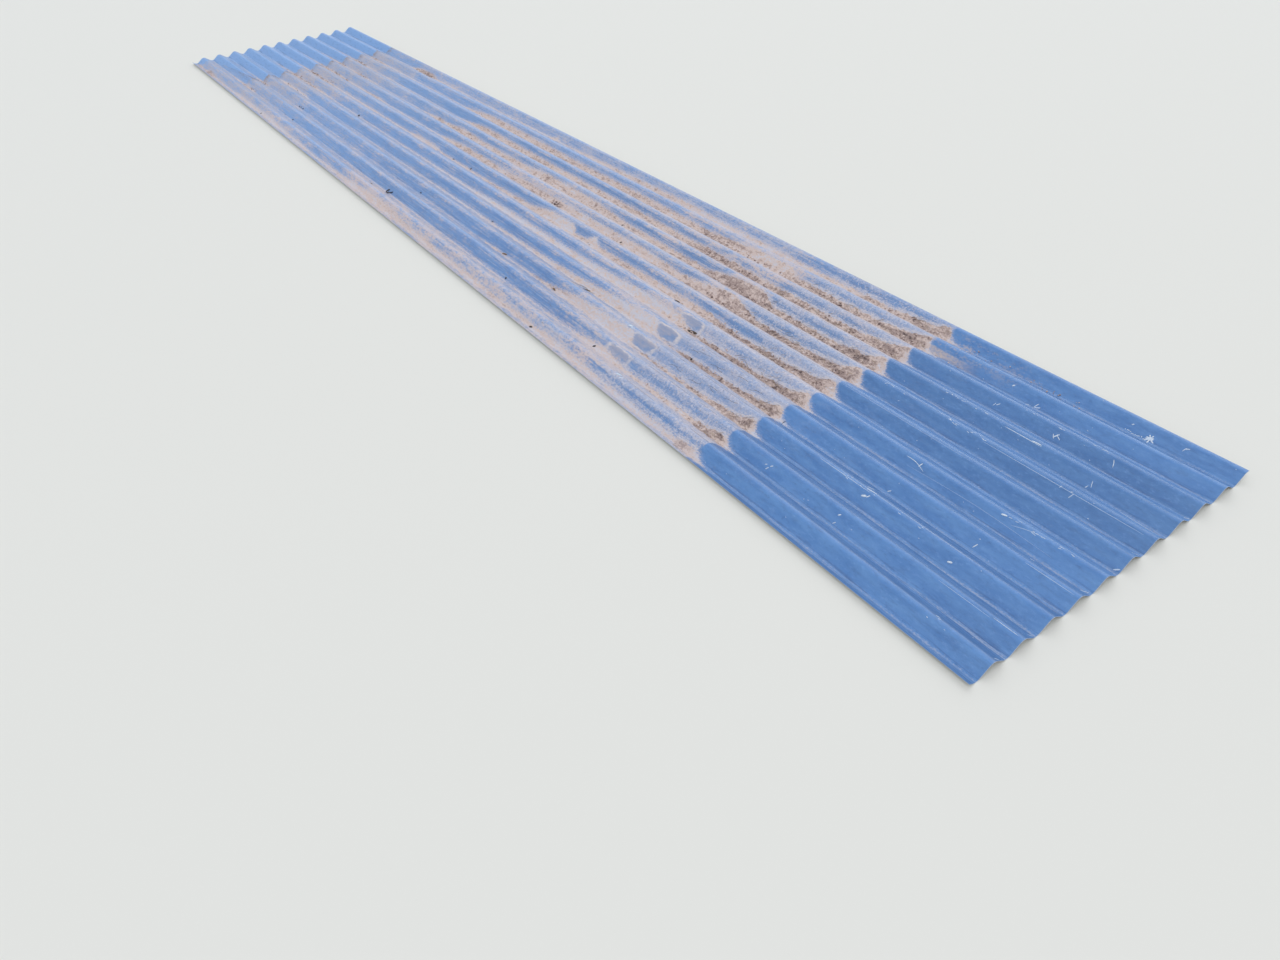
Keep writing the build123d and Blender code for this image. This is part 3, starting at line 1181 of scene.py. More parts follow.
def lumps(x, y, size, seed):
    """Noise mostly between -0.5 and 0.5, at places in mm, with lumps of about the given size in mm."""
    flat_x = np.ravel(x) / size + seed * 13.7
    flat_y = np.ravel(y) / size + seed * 5.1
    values = [noise.fractal(Vector((a, b, seed)), 1.0, 2.0, lump_octaves) for a, b in zip(flat_x, flat_y)]
    return np.reshape(values, np.shape(x))


def clods(x, y, size, seed):
    """1 in the middle of a clod and about 0 in the gaps between clods of the given size in mm."""
    places = zip(np.ravel(x) / size, np.ravel(y) / size)
    nearest = [noise.voronoi(Vector((a, b, seed * 7.7)))[0][0] for a, b in places]
    return np.reshape(1 - 1.3 * np.array(nearest), np.shape(x))


one_row = clods(np.arange(60.0), np.zeros(60), 9.5, 3)
print("the middle of a clod gives up to", round(float(one_row.max()), 2))

# %% [markdown]
# ## Dried mud as a material
#
# Dried clay is dull, pale where it is thin or washed, tan in lumps, and dark brown in the gaps between
# them, where the dark is painted shade. One flat brown would look like plastic. So the colour follows the
# number that each point of a body carries, with the same soft noise as the film in the paint, so a body
# and the film around it agree where they meet. The grains are too small for a mesh, about a millimetre, so
# they are a bump.

# %% Dried mud
pale_grit = colour(214, 204, 200)


def carried_number(tree):
    """The number that each point of a body carries, how brown it is."""
    node = tree.nodes.new("ShaderNodeAttribute")
    node.attribute_name = "brown"
    return Field(tree, node.outputs["Fac"])


def dried_mud():
    """Clay that dried in lumps."""
    material, tree, shader, ground = new_material("dried_clay_mud")
    tone = mud_tone(ground, carried_number(tree))
    grit = ground.cloud(1.6, 1.6, 51)
    tone = mix(grit.rise(0.56, 0.7) * 0.35, tone, pale_grit)
    dress(tree, shader, tone, 0.95)
    shader.inputs["Specular IOR Level"].default_value = 0.2
    raise_bumps(tree, shader, ground.cloud(2.2, 2.2, 52, detail=3.0) * 0.9)
    return material


mud_material = dried_mud()
print("material:", mud_material.name)

# %% [markdown]
# ## Litter and pale marks as materials
#
# Straw is pale, a stalk is brown and a rotted leaf is nearly black, and all of them show fibres along
# their length. Each could have a material of its own, but then a heap of litter would have to be sorted
# into pieces. So the number that a body carries runs from pale straw to black leaf, and a stretched noise
# adds the fibres. The marks on the clean paint are chalky, and a fainter one carries a higher number and
# lets more blue through.

# %% Litter and pale marks
pale_straw = colour(186, 170, 146)
brown_stalk = colour(124, 102, 82)
black_leaf = colour(44, 38, 36)
bluish_chalk = colour(194, 214, 238)
white_chalk = colour(232, 240, 250)
scuffed_blue = colour(128, 162, 214)


def dry_litter():
    """Straw, stalks, seeds and leaves."""
    material, tree, shader, ground = new_material("dry_plant_litter")
    fibre = ground.cloud(9, 1.2, 53)
    shade = carried_number(tree) + (fibre - 0.5) * 0.4
    tone = mix(shade.rise(0.0, 0.5), pale_straw, brown_stalk)
    tone = mix(shade.rise(0.5, 1.0), tone, black_leaf)
    dress(tree, shader, tone, 0.8)
    raise_bumps(tree, shader, fibre * 0.3)
    return material


def pale_mark():
    """Bird lime, chips and scratches, which all show nearly white on the blue."""
    material, tree, shader, ground = new_material("pale_marks")
    chalk = ground.cloud(2.0, 2.0, 54)
    tone = mix(chalk.rise(0.3, 0.7), bluish_chalk, white_chalk)
    tone = mix(carried_number(tree), tone, scuffed_blue)
    dress(tree, shader, tone, 0.7)
    return material


litter_material = dry_litter()
mark_material = pale_mark()
print("materials:", litter_material.name, "and", mark_material.name)

# %% [markdown]
# ## Mud in the troughs and the piles at the lap line
#
# Mud lies where water slowed down: a thin crust along the troughs, and piles against the edge that lay
# over this sheet. A subdivided plane with a displace modifier would do for one pile, but it would be open
# below and hard to fit. Here each stretch of mud is lofted along its trough: a ring has a lumpy top from
# the profile, and a bottom that follows the wave inside the thickness of the steel, so the visible edge
# is where the lumps dip into the sheet.

# %% Stretches of mud and their rings
# sizes in mm
least_depth = 0.08
shortest_body = 30
pile_from_depth = 0.75
pile_ring_gap = 2.2
crust_ring_gap = 4.2


def stretches(rows):
    """From and to distances between which a trough has mud deep enough for a body."""
    steps = np.arange(rows[0][0], sheet_length, 5.0)
    deep = amount_at(rows, depth_column, steps) > least_depth
    starts = steps[1:][deep[1:] & ~deep[:-1]]
    ends = steps[1:][~deep[1:] & deep[:-1]]
    return [(start, end) for start, end in zip(starts, ends) if end - start > shortest_body]


def ring_places(rows, start, end):
    """The distances of the rings of one stretch: close in a pile, wider where the mud is a crust."""
    places = [start]
    while places[-1] < end - 6:
        in_pile = amount_at(rows, depth_column, places[-1]) > pile_from_depth
        places.append(places[-1] + (pile_ring_gap if in_pile else crust_ring_gap))
    return np.array(places + [end])


print("trough 3 has", len(stretches(trough_rows[3])), "stretches with mud that is deep enough for a body")

# %% [markdown]
# ## The lumpy top of the mud
#
# The top of dried mud is soft lumps with broken clods on them. It thins out to both sides, and where it
# is shallow it is patchy. Sculpting brushes could do it by eye, one trough at a time. Here each ring takes
# its cover, reach, brownness and depth from the profile, and adds lumps and clods in millimetres. Where
# the top dips below the paint the mud ends, with a ragged edge.

# %% The lumpy top
# how far a body goes to both sides of its trough, in waves, and how many points span it
lowest_side = -0.17
highest_side = 0.46
top_points = 34
# sizes in mm
edge_dip = 0.15
no_higher_than = sheet_height + 0.35
soft_lump = 19
small_lump = 5
large_clod = 9.5
small_clod = 4.5


def mud_top(number, rows, at):
    """The lumpy top of one stretch: the wave positions across it, and the height and shade at each."""
    cover, reach, brown, depth = [amount_at(rows, column, at)[:, None] for column in range(1, 5)]
    side = np.linspace(highest_side, lowest_side, top_points)[None, :]
    wave = number + 0.5 + side
    along = at[:, None] + 0 * side
    across = wave * wave_pitch + 0 * along
    level = 0 * along
    upper_edge = reach * film_reach + 0.04 + lumps(along, level, 24, number + 61) * 0.07
    lower_edge = -0.11 + lumps(along, level, 30, number + 81) * 0.04
    shape = np.clip((side - lower_edge) / 0.09, 0, 1) * np.clip((upper_edge - side) / 0.11, 0, 1)
    rough = lumps(along, across, soft_lump, number + 20) * 1.1
    rough = rough + lumps(along, across, small_lump, number + 40) * 0.5
    clod = 0.6 * clods(along, across, large_clod, number)
    clod = clod + 0.4 * clods(along, across, small_clod, number + 31)
    patchy = np.clip(0.7 + 1.6 * lumps(along, across, 45, number + 90), 0.1, 1.3)
    crumbly = np.minimum(depth, 1.1) * patchy
    body = depth * shape * (0.75 + rough) + crumbly * shape * (clod - 0.35) * 1.2
    body = body * (0.25 + 0.75 * np.clip(cover * 1.6 + rough * 0.6 - 0.4, 0, 1)) - 0.14
    ends = np.minimum(1, np.minimum(along - at[0], at[-1] - along) / 10)
    body = np.clip(body * ends - (1 - ends) * edge_dip, -edge_dip, None)
    height = np.minimum(face_height(wave) + body, no_higher_than)
    # darker in the gaps between clods: painted shade
    shade = brown + (0.5 - clod) * 0.9 * np.minimum(crumbly, 1) + rough * 0.4
    return wave[0], height, shade


span = (highest_side - lowest_side) * wave_pitch
print("a ring of mud has", top_points, "points on its top, over", round(span), "mm")

# %% [markdown]
# ## Closed bodies of mud
#
# A crust of mud has an underside too, and though nobody sees it, a mesh that is handed on should be
# closed. A solidify modifier would give it an even thickness, and it would show below the thin steel. So
# each ring is closed by a few points that follow the wave inside the thickness of the steel, and the
# troughs are then made one by one.

# %% Bodies of mud
under_points = 9
# how far below the paint the underside lies, in mm
hidden_depth = 0.35


def mud_body(heap, number, rows, start, end):
    """One stretch of mud in one trough: the lumpy top, closed below by a face inside the steel."""
    at = ring_places(rows, start, end)
    wave, top, shade = mud_top(number, rows, at)
    under_wave = number + 0.5 + np.linspace(lowest_side, highest_side, under_points)
    under = np.broadcast_to(face_height(under_wave) - hidden_depth, (len(at), under_points))
    ring_wave = np.concatenate([wave, under_wave])
    height = np.concatenate([top, under], axis=1)
    x = np.repeat(at[:, None] - sheet_length / 2, len(ring_wave), axis=1)
    y = np.broadcast_to(first_crest + ring_wave * wave_pitch, x.shape)
    points = np.stack([x, y, height], axis=-1).reshape(-1, 3) * MM
    shades = np.concatenate([shade, np.full((len(at), under_points), 0.5)], axis=1).ravel()
    heap.add(points, ring_faces(len(at), len(ring_wave)), shades)


for number, rows in trough_rows.items():
    if number < 0:
        continue
    heap = Heap()
    for start, end in stretches(rows):
        mud_body(heap, number, rows, start, end)
    heap.piece("mud_trough_" + str(number), mud_material)

# %% [markdown]
# ## One crumb
#
# A crumb of clay is a small stone, dented and a little flat, and no two are alike. A cube with a
# subdivision modifier would come out smooth and round. So a ball with few faces gets dents from a noise,
# is stretched and turned at random, and sinks by a fifth into what it lies on.

# %% One crumb
import bmesh


def round_stone(detail):
    """The points and faces of a ball of size 1, as a start for a crumb."""
    shape = bmesh.new()
    bmesh.ops.create_icosphere(shape, subdivisions=detail, radius=0.5)
    points = np.array([corner.co[:] for corner in shape.verts])
    faces = [tuple(corner.index for corner in face.verts) for face in shape.faces]
    shape.free()
    return points, faces


coarse_stone = round_stone(1)
fine_stone = round_stone(2)
fine_from_size = 3.2


def crumb(heap, centre, size, brown, chance):
    """One lumpy stone, a little flat, sunk by a fifth into what it lies on."""
    points, faces = fine_stone if size > fine_from_size else coarse_stone
    shift = Vector((brown * 91, size * 37, 0))
    dents = [1 + 0.5 * noise.noise(Vector(point) * 2.6 + shift) for point in points]
    stretch = np.array([chance.uniform(0.8, 1.4), chance.uniform(0.7, 1.1), chance.uniform(0.5, 0.8)])
    turn = chance.uniform(0, math.pi)
    points = points * np.array(dents)[:, None] * stretch * size
    spun_x = points[:, 0] * math.cos(turn) - points[:, 1] * math.sin(turn)
    spun_y = points[:, 0] * math.sin(turn) + points[:, 1] * math.cos(turn)
    spun = np.stack([spun_x, spun_y, points[:, 2] + 0.2 * size], axis=1)
    heap.add(centre + spun * MM, faces, brown)


print("a small crumb has", len(coarse_stone[1]), "faces and a large one", len(fine_stone[1]))

# %% [markdown]
# ## Loose crumbs
#
# Broken bits of clay and rotted leaf lie in the troughs just inside the far lap line, and on and around
# the piles. A particle system could scatter them, but its result is hard to control and has to be turned
# into a mesh anyway. So a loop drops lumpy little stones at seeded random places along listed stretches of
# each trough.

# %% Loose crumbs
import random

# trough, from and to distance in mm, how many, largest size in mm, brownness
crumb_stretches = [
    (0, 544, 683, 22, 5, 0.9), (1, 549, 642, 16, 5, 0.9), (3, 549, 847, 44, 6, 0.9),
    (4, 560, 878, 44, 6, 0.9), (5, 539, 847, 44, 6, 0.9), (6, 560, 601, 10, 6, 0.9),
    (6, 734, 888, 24, 6, 0.9), (7, 554, 683, 26, 6, 0.9), (8, 601, 683, 16, 5, 0.9),
    (5, 2625, 2687, 22, 8, 1.2), (8, 3996, 4099, 16, 4, 0.7), (9, 3996, 4369, 34, 4, 0.7),
    (3, 3537, 3948, 70, 6, 0.6), (4, 3528, 3958, 90, 6, 0.7), (5, 3428, 3968, 120, 7, 0.7),
    (6, 3428, 3973, 140, 7, 0.8), (7, 3188, 3978, 150, 7, 0.8), (8, 3122, 3983, 150, 7, 0.8),
    (2, 3637, 3964, 40, 5, 0.6), (1, 3597, 3954, 40, 5, 0.5), (0, 3597, 3954, 40, 5, 0.5),
    (9, 3718, 3988, 50, 6, 0.7), (5, 1914, 3014, 90, 5, 0.7), (6, 1578, 3028, 120, 5, 0.7),
    (7, 1778, 3138, 90, 5, 0.6), (8, 1692, 3042, 80, 5, 0.6), (9, 905, 1122, 40, 6, 0.8),
    (4, 2208, 3428, 60, 4, 0.6), (2, 665, 982, 20, 5, 0.8),
]


def mud_depth_at(number, distance):
    """Mean depth of the mud in the middle of a trough, less than its profile's because it is lumpy."""
    return amount_at(trough_rows[number], depth_column, distance) * 0.6


crumbs = Heap()
chance = random.Random(11)
for number, start, end, how_many, largest, brown in crumb_stretches:
    for _ in range(how_many):
        distance = chance.uniform(start, end)
        wave = number + 0.5 + min(max(chance.gauss(0.04, 0.06), -0.1), 0.25)
        size = largest * chance.uniform(0.3, 1.0) ** 1.4
        centre = on_sheet(distance, wave, mud_depth_at(number, distance))
        crumb(crumbs, centre, size, brown + chance.uniform(-0.4, 0.4), chance)
crumbs.piece("loose_crumbs", mud_material, smooth=False)

# %% [markdown]
# ## Straw, a stalk, leaves and seeds
#
# The wind and the grass around the sheet left a few plant parts on it, and fine roots bind the piles.
# Hair would suit the roots, but hair has no mesh. So each is a thin rod along a few points of a curve. A
# rod is three-sided and tapers, which is enough at a width of half a millimetre.

# %% Rods along a curve


def through(stops, steps):
    """A smooth run of points through a few (distance, wave, lift) stops."""
    stops = np.array(stops, float)
    spot = np.linspace(0, len(stops) - 1, steps)
    low = np.minimum(spot.astype(int), len(stops) - 2)
    share = (spot - low)[:, None]
    before = stops[np.maximum(low - 1, 0)]
    after = stops[np.minimum(low + 2, len(stops) - 1)]
    start, end = stops[low], stops[low + 1]
    bend = (end - before) * share * (1 - share) ** 2 / 2 - (after - start) * share**2 * (1 - share) / 2
    eased = share**2 * (3 - 2 * share)
    return start + (end - start) * eased + bend


def rod(heap, path, width, thickness, brown, sides=3, point=0.2):
    """A tapering rod along rows of distance, wave and lift. Width is along the face, thickness off it."""
    base = on_sheet(path[:, 0], path[:, 1], path[:, 2])
    lifted = on_sheet(path[:, 0], path[:, 1], path[:, 2] + 1.0)
    off_face = (lifted - base) / MM
    forward = np.gradient(base, axis=0)
    forward /= np.linalg.norm(forward, axis=1)[:, None]
    sideways = np.cross(off_face, forward)
    sideways /= np.linalg.norm(sideways, axis=1)[:, None]
    off_face = np.cross(forward, sideways)
    along = np.linspace(0, 1, len(path))
    taper = point + (1 - point) * np.sin(math.pi * along) ** 0.5
    turns = math.pi / 2 + 2 * math.pi * np.arange(sides) / sides
    side_part = np.cos(turns)[None, :, None] * sideways[:, None, :] * width / 2
    up_part = np.sin(turns)[None, :, None] * off_face[:, None, :] * thickness / 2
    rings = base[:, None, :] + (side_part + up_part) * taper[:, None, None] * MM
    heap.add(rings.reshape(-1, 3), ring_faces(len(path), sides), brown)


print("a rod through 6 points has", len(ring_faces(6, 3)), "faces")

# %% [markdown]
# ## Roots in the piles
#
# Grass had begun to root in the mud, and its dead roots stick out of the piles as pale curved threads.
# Placing two hundred of them by hand would take a day, and nobody would notice which one lies where. So
# each takes its place, length and bend from seeded chance, within stretches noted for each trough.

# %% Roots
litter = Heap()
chance = random.Random(23)
root_stretches = [
    (0, 3904, 3952, 8), (1, 3884, 3957, 16), (2, 3884, 3962, 18), (3, 3718, 3963, 40),
    (4, 3718, 3966, 46), (5, 3588, 3968, 56), (6, 3588, 3970, 60), (7, 3528, 3973, 60),
    (8, 3528, 3976, 50), (9, 3878, 3980, 20),
]
for number, start, end, how_many in root_stretches:
    for _ in range(how_many):
        distance = chance.uniform(start, end)
        wave = number + 0.5 + chance.uniform(-0.06, 0.22)
        deep = mud_depth_at(number, distance) + 0.6
        length = chance.uniform(8, 26)
        lean = chance.uniform(-0.16, 0.16)
        halfway = wave + lean * 0.5 + chance.uniform(-0.03, 0.03)
        stops = [(distance, wave, deep - 0.8), (distance + length * 0.5, halfway, deep + 0.8)]
        stops.append((distance + length, wave + lean, deep - 0.8))
        rod(litter, through(stops, 6), chance.uniform(0.5, 0.9), 0.5, brown=chance.uniform(0.0, 0.5))
print("roots:", sum(stretch[3] for stretch in root_stretches))

# %% [markdown]
# ## Leaves and a husk
#
# A curled leaf, a dark seed and an open husk are small, and from where one stands all that shows is a
# shape with a thickness. Each could be modelled on its own, but a rod is nearly such a shape already. So a
# leaf or a seed is a flat, wide rod with six sides, and the husk is a rod closed to a ring, with a
# knobbly rim.

# %% Leaves and a husk


def leaf(heap, distance, wave, length, width, turn, brown):
    """A dry leaf or seed case: a flat rod with six sides, lying on the paint."""
    ahead = math.cos(turn) * length / 2
    aside = math.sin(turn) * length / 2 / wave_pitch
    stem = (distance - ahead, wave - aside, 0.3)
    tip = (distance + ahead, wave + aside, 0.3)
    stops = [stem, (distance, wave, 1.1), tip]
    rod(heap, through(stops, 7), width, 1.6, sides=6, brown=brown, point=0.15)


husk_steps = 20
husk_sides = 5


def husk(heap, distance, wave, size, brown):
    """An open ring, such as the dry husk of a seed, with a knobbly rim."""
    centre = on_sheet(distance, wave, 1.6)
    points = []
    faces = []
    for step in range(husk_steps):
        angle = 2 * math.pi * step / husk_steps
        cosine = math.cos(angle)
        sine = math.sin(angle)
        radius = size / 2 * (1 + 0.14 * noise.noise(Vector((cosine * 2, sine * 2, 4.0))))
        thick = 1.7 + 1.0 * noise.noise(Vector((cosine * 3, sine * 3, 9.0)))
        outward = np.array([cosine, sine, 0.0])
        middle = centre + outward * radius * MM
        here = step * husk_sides
        ahead = (step + 1) % husk_steps * husk_sides
        for turn in range(husk_sides):
            around = 2 * math.pi * turn / husk_sides
            bulge = outward * math.cos(around) + np.array([0.0, 0.0, -math.sin(around)])
            points.append(middle + bulge * thick * MM)
            after = (turn + 1) % husk_sides
            faces.append((here + turn, here + after, ahead + after, ahead + turn))
    heap.add(points, faces, brown)


print("a husk has", husk_steps * husk_sides, "points")

# %% [markdown]
# ## Litter with a place of its own
#
# One bent stalk, six leaves, one husk and some dark seeds lie apart from the rest. Seeded chance suits
# roots, which look alike wherever they lie, but these few catch the eye. So their places are noted in
# short tables, and they join the heap that holds the roots.

# %% Stalk, leaves, seeds and the husk
stalk = [(3150, 2.2, 0.8), (3172, 2.42, 1.6), (3194, 2.5, 1.2), (3212, 2.42, 1.6), (3236, 2.5, 0.7)]
rod(litter, through(stalk, 24), 1.4, 1.1, sides=4, brown=0.45)
# distance, wave position, length and width in mm, turn in radians, brownness
leaves = [
    (3204, 2.42, 24, 6, 0.5, 0.7), (2856, 1.55, 24, 6, 0.2, 0.55), (3140, 1.55, 18, 6, -0.2, 0.6),
    (3416, 4.42, 22, 7, 0.1, 0.8), (3566, 3.56, 34, 9, 0.15, 0.85), (2056, 4.55, 9, 4, 0.5, 0.9),
]
for distance, wave, length, width, turn, brown in leaves:
    leaf(litter, distance, wave, length, width, turn, brown)
husk(litter, 2178, 0.62, 28, 0.95)
# distance, wave position and size in mm of the dark specks
dark_specks = [
    (1006, -0.45, 7), (1186, 0.55, 8), (1042, 1.6, 7), (1060, 1.62, 5), (1083, 1.6, 8),
    (1336, 3.55, 10), (1342, 3.5, 7), (2187, 4.6, 6), (2260, 1.6, 7), (2995, 0.6, 6), (3273, -0.45, 8),
    (3460, 0.55, 7), (2091, 0.2, 5), (2632, 2.6, 5), (3664, 2.52, 7), (2928, 6.5, 6), (3024, 5.55, 6),
]
for distance, wave, size in dark_specks:
    leaf(litter, distance, wave, size * 1.3, size * 0.8, distance * 1.7, 1.0)
litter.piece("plant_litter", litter_material)

# %% [markdown]
# ## Cracks in the silt
#
# On two flanks the silt dried to a smooth skin and cracked, in a few short, forked lines. A Voronoi
# pattern makes a whole net of cracks, which suits a dried pond but not a skin this thin. So the shade
# inside each crack is painted as a thin dark rod, nearly flush with the paint, along a few noted points.

# %% Cracks in the silt
# each crack is a list of distance and wave position, on the flanks where the silt lies smooth
silt_crack_shade = [
    [(3656, 1.70), (3668, 1.77), (3680, 1.78), (3696, 1.84)], [(3678, 1.78), (3688, 1.74), (3704, 1.73)],
    [(3733, 1.66), (3744, 1.72), (3762, 1.73), (3774, 1.79)], [(3790, 1.84), (3806, 1.87), (3829, 1.86)],
    [(3800, 1.87), (3807, 1.81), (3820, 1.78)], [(3853, 1.8), (3864, 1.85), (3879, 1.86), (3896, 1.9)],
    [(3639, 2.74), (3653, 2.79), (3669, 2.78)], [(3658, 2.79), (3665, 2.84), (3688, 2.86), (3709, 2.9)],
    [(3718, 2.71), (3735, 2.76), (3750, 2.76), (3769, 2.82)], [(3742, 2.76), (3750, 2.71), (3766, 2.7)],
    [(3803, 2.83), (3818, 2.88), (3846, 2.88)], [(3866, 2.75), (3878, 2.81), (3900, 2.83)],
]
# painted shade: each dark rod stands for the shade inside a crack
cracks = Heap()
for crack in silt_crack_shade:
    stops = [(distance, wave, 0.02) for distance, wave in crack]
    rod(cracks, through(stops, 14), 1.5, 0.25, brown=0.75, point=0.25)
cracks.piece("silt_crack_shade", litter_material)

# %% [markdown]
# ## Scratches, chips and bird lime
#
# The marks on the clean end are thin: chalk-white drops, scratches down to the primer, and rows of dots
# where something was dragged across the waves. They could be noise in the paint, but noise puts them
# anywhere. Each is a flat rod a few hundredths of a millimetre proud of the paint, placed where it can be
# seen to be.

# %% Strokes


def stroke(heap, distance, wave, ahead, aside, width, faint, bow=0.0):
    """A stroke that runs ahead mm along the waves and aside mm across them, and bows by a part of a wave.

    Faint is 0 for chalk white and 1 for a scuff that is nearly blue."""
    reach = aside / wave_pitch / 2
    stops = [(distance - ahead / 2, wave - reach, 0.03), (distance, wave + bow, 0.06)]
    stops.append((distance + ahead / 2, wave + reach, 0.03))
    rod(heap, through(stops, max(7, int(abs(ahead) / 12))), width, 0.3, sides=4, brown=faint, point=0.3)


# distance and wave position of the middle, ahead and aside in mm, width in mm, faintness, and for a
# bent one its bow in waves
long_strokes = [
    (1984, 0.95, 62, 0, 1.6, 0.3), (4360, 6.9, 92, 0, 1.5, 0.2), (4392, 6.93, 22, 1, 2.2, 0.0),
    (4163, 4.95, 370, 0, 0.8, 0.7), (4400, 2.05, 308, 0, 0.9, 0.5), (4498, 5.9, 359, 0, 1.0, 0.5),
    (4436, 3.7, 339, 0, 0.7, 0.7, 0.06), (4664, 1.0, 51, 0, 1.2, 0.3), (4220, 1.97, 140, 0, 1.0, 0.3),
    (4278, 3.82, 52, -8, 1.3, 0.1, 0.04), (4646, 6.42, 80, -6, 1.6, 0.3),
    (4660, 6.33, 50, -4, 1.2, 0.4), (4545, 3.9, 70, 14, 1.0, 0.5, 0.02), (4357, 5.3, 46, 10, 2.4, 0.7),
    (4530, 4.2, 60, 12, 2.4, 0.7), (4677, 6.38, 30, 3, 3.0, 0.6), (4580, 0.95, 110, 0, 0.9, 0.6),
    (4640, 2.95, 100, 0, 1.0, 0.5),
]
short_strokes = [
    (4290, 3.86, 4, 9, 2.2, 0.0), (4297, 2.6, 6, 5, 2.0, 0.1), (4503, 1.72, 9, 3, 3.6, 0.0),
    (4502, 2.66, 4, 9, 2.0, 0.1), (4489, 3.92, 12, 3, 3.4, 0.0), (4523, 7.8, -8, 13, 1.6, 0.1, 0.02),
    (4532, 6.72, -6, 12, 1.4, 0.2), (4527, 6.62, 3, 6, 1.6, 0.2), (4531, 5.84, 4, 11, 1.4, 0.2),
    (4504, 5.9, 3, 6, 1.6, 0.3), (4527, 5.92, 5, 3, 1.6, 0.3), (4588, 9.8, 9, 4, 2.4, 0.3, 0.01),
    (4584, 9.77, 3, 8, 1.6, 0.3), (4472, 9.76, 4, 3, 2.4, 0.2), (4250, 7.74, 6, 6, 1.8, 0.2),
    (4243, 7.7, 3, 8, 1.4, 0.3), (4283, 8.52, 8, 4, 1.8, 0.2), (4305, 8.58, 12, 6, 4.0, 0.5),
    (4300, 8.62, 4, 10, 2.0, 0.2), (4580, 0.1, 8, 2, 2.0, 0.3), (4586, 0.06, 4, 5, 1.6, 0.3),
    (4589, 3.3, 10, 2, 2.6, 0.1), (4096, 0.7, 4, 6, 2.2, 0.2), (4088, 0.76, 5, 3, 2.0, 0.3),
    (4102, 0.8, 5, 4, 2.2, 0.1), (4276, 2.2, 14, 8, 3.6, 0.1), (4288, 2.05, 24, 3, 3.0, 0.3),
    (4284, 1.82, 10, 4, 4.4, 0.0), (4292, 1.86, 5, 6, 2.4, 0.1), (4228, 8.8, 5, 4, 3.0, 0.0),
    (4294, 0.82, 5, 4, 2.6, 0.2), (4296, 0.62, 4, 5, 2.0, 0.3), (3464, 2.0, 14, 3, 6.0, 0.0),
    (3476, 1.97, 10, 6, 2.6, 0.1), (3628, 0.05, 16, 5, 6.0, 0.1), (3642, 0.0, 8, 8, 2.4, 0.1),
    (4396, 7.74, 8, 10, 2.6, 0.0), (4392, 7.7, -7, 8, 1.6, 0.1), (4403, 7.72, 10, -5, 1.6, 0.1),
    (4692, 4.6, 9, 6, 2.6, 0.3), (4688, 3.45, 12, 8, 2.4, 0.4), (4695, 0.2, 6, 7, 2.2, 0.4),
    (4690, 5.4, 12, 4, 2.2, 0.5), (4693, 7.5, 8, 5, 2.0, 0.5), (4693, 1.4, 7, 6, 2.0, 0.5),
]
frayed = 1.3  # lime and chipped paint fray a little wider than their core
marks = Heap()
for distance, wave, ahead, aside, width, faint, *bow in long_strokes + short_strokes:
    stroke(marks, distance, wave, ahead, aside, width * frayed, faint, *bow)
print("strokes:", len(long_strokes), "long ones and", len(short_strokes), "short ones")

# %% [markdown]
# ## Flecks and one splash
#
# Beside the marks that can be told apart there are many tiny flecks, a row of dots, and a splash with
# short rays. Noting every fleck would be tedious and no more true, so they are left to seeded chance. The
# crests that another sheet was dragged over get more of them, and the splash is nine rods from one
# middle.

# %% Flecks and a splash
chance = random.Random(37)
for distance in range(4466, 4510, 6):
    wave = 9.57 + chance.uniform(-0.03, 0.03)
    stroke(marks, distance, wave, chance.uniform(2, 7), chance.uniform(-3, 3), 2.2, 0.1)
# crest, from and to distance in mm, how many
fleck_stretches = [
    (6, 4040, 4330, 26), (4, 4480, 4640, 14), (8, 4300, 4520, 12), (2, 4200, 4420, 10),
    (7, 4130, 4300, 12),
]
for number, start, end, how_many in fleck_stretches:
    for _ in range(how_many):
        distance = chance.uniform(start, end)
        wave = number + chance.gauss(-0.02, 0.05)
        ahead = chance.uniform(2, 11)
        aside = chance.uniform(-2, 2)
        stroke(marks, distance, wave, ahead, aside, chance.uniform(0.8, 2.0), 0.25)
for _ in range(90):
    distance = chance.uniform(3990, 4690)
    wave = chance.uniform(-0.4, 10.0)
    ahead = chance.uniform(1.5, 4)
    aside = chance.uniform(-2, 2)
    stroke(marks, distance, wave, ahead, aside, chance.uniform(1.0, 2.0), chance.uniform(0.2, 0.8))

splash_rays = 9
splash_distance = 4518
splash_wave = 9.64
for ray in range(splash_rays):
    angle = 2 * math.pi * ray / splash_rays + 0.3 * math.sin(ray * 5)
    length = 7 + 6 * math.sin(ray * 3.3) ** 2
    ahead = math.cos(angle) * length
    aside = math.sin(angle) * length / wave_pitch
    middle = (splash_distance, splash_wave, 0.12)
    halfway = (splash_distance + ahead * 0.6, splash_wave + aside * 0.6, 0.1)
    tip = (splash_distance + ahead, splash_wave + aside, 0.02)
    rod(marks, through([middle, halfway, tip], 6), 4.5, 0.6, brown=0.0, point=0.4)
marks.piece("pale_marks", mark_material)

# %% [markdown]
# ## The floor
#
# The sheet lies on level ground, and its shadow under the wavy edges shows that it does. A backdrop bent
# up behind the sheet would hide the horizon, but the camera looks down and sees only floor. So one large
# pale plane is enough. It is marked as stage, because it isn't part of the sheet.

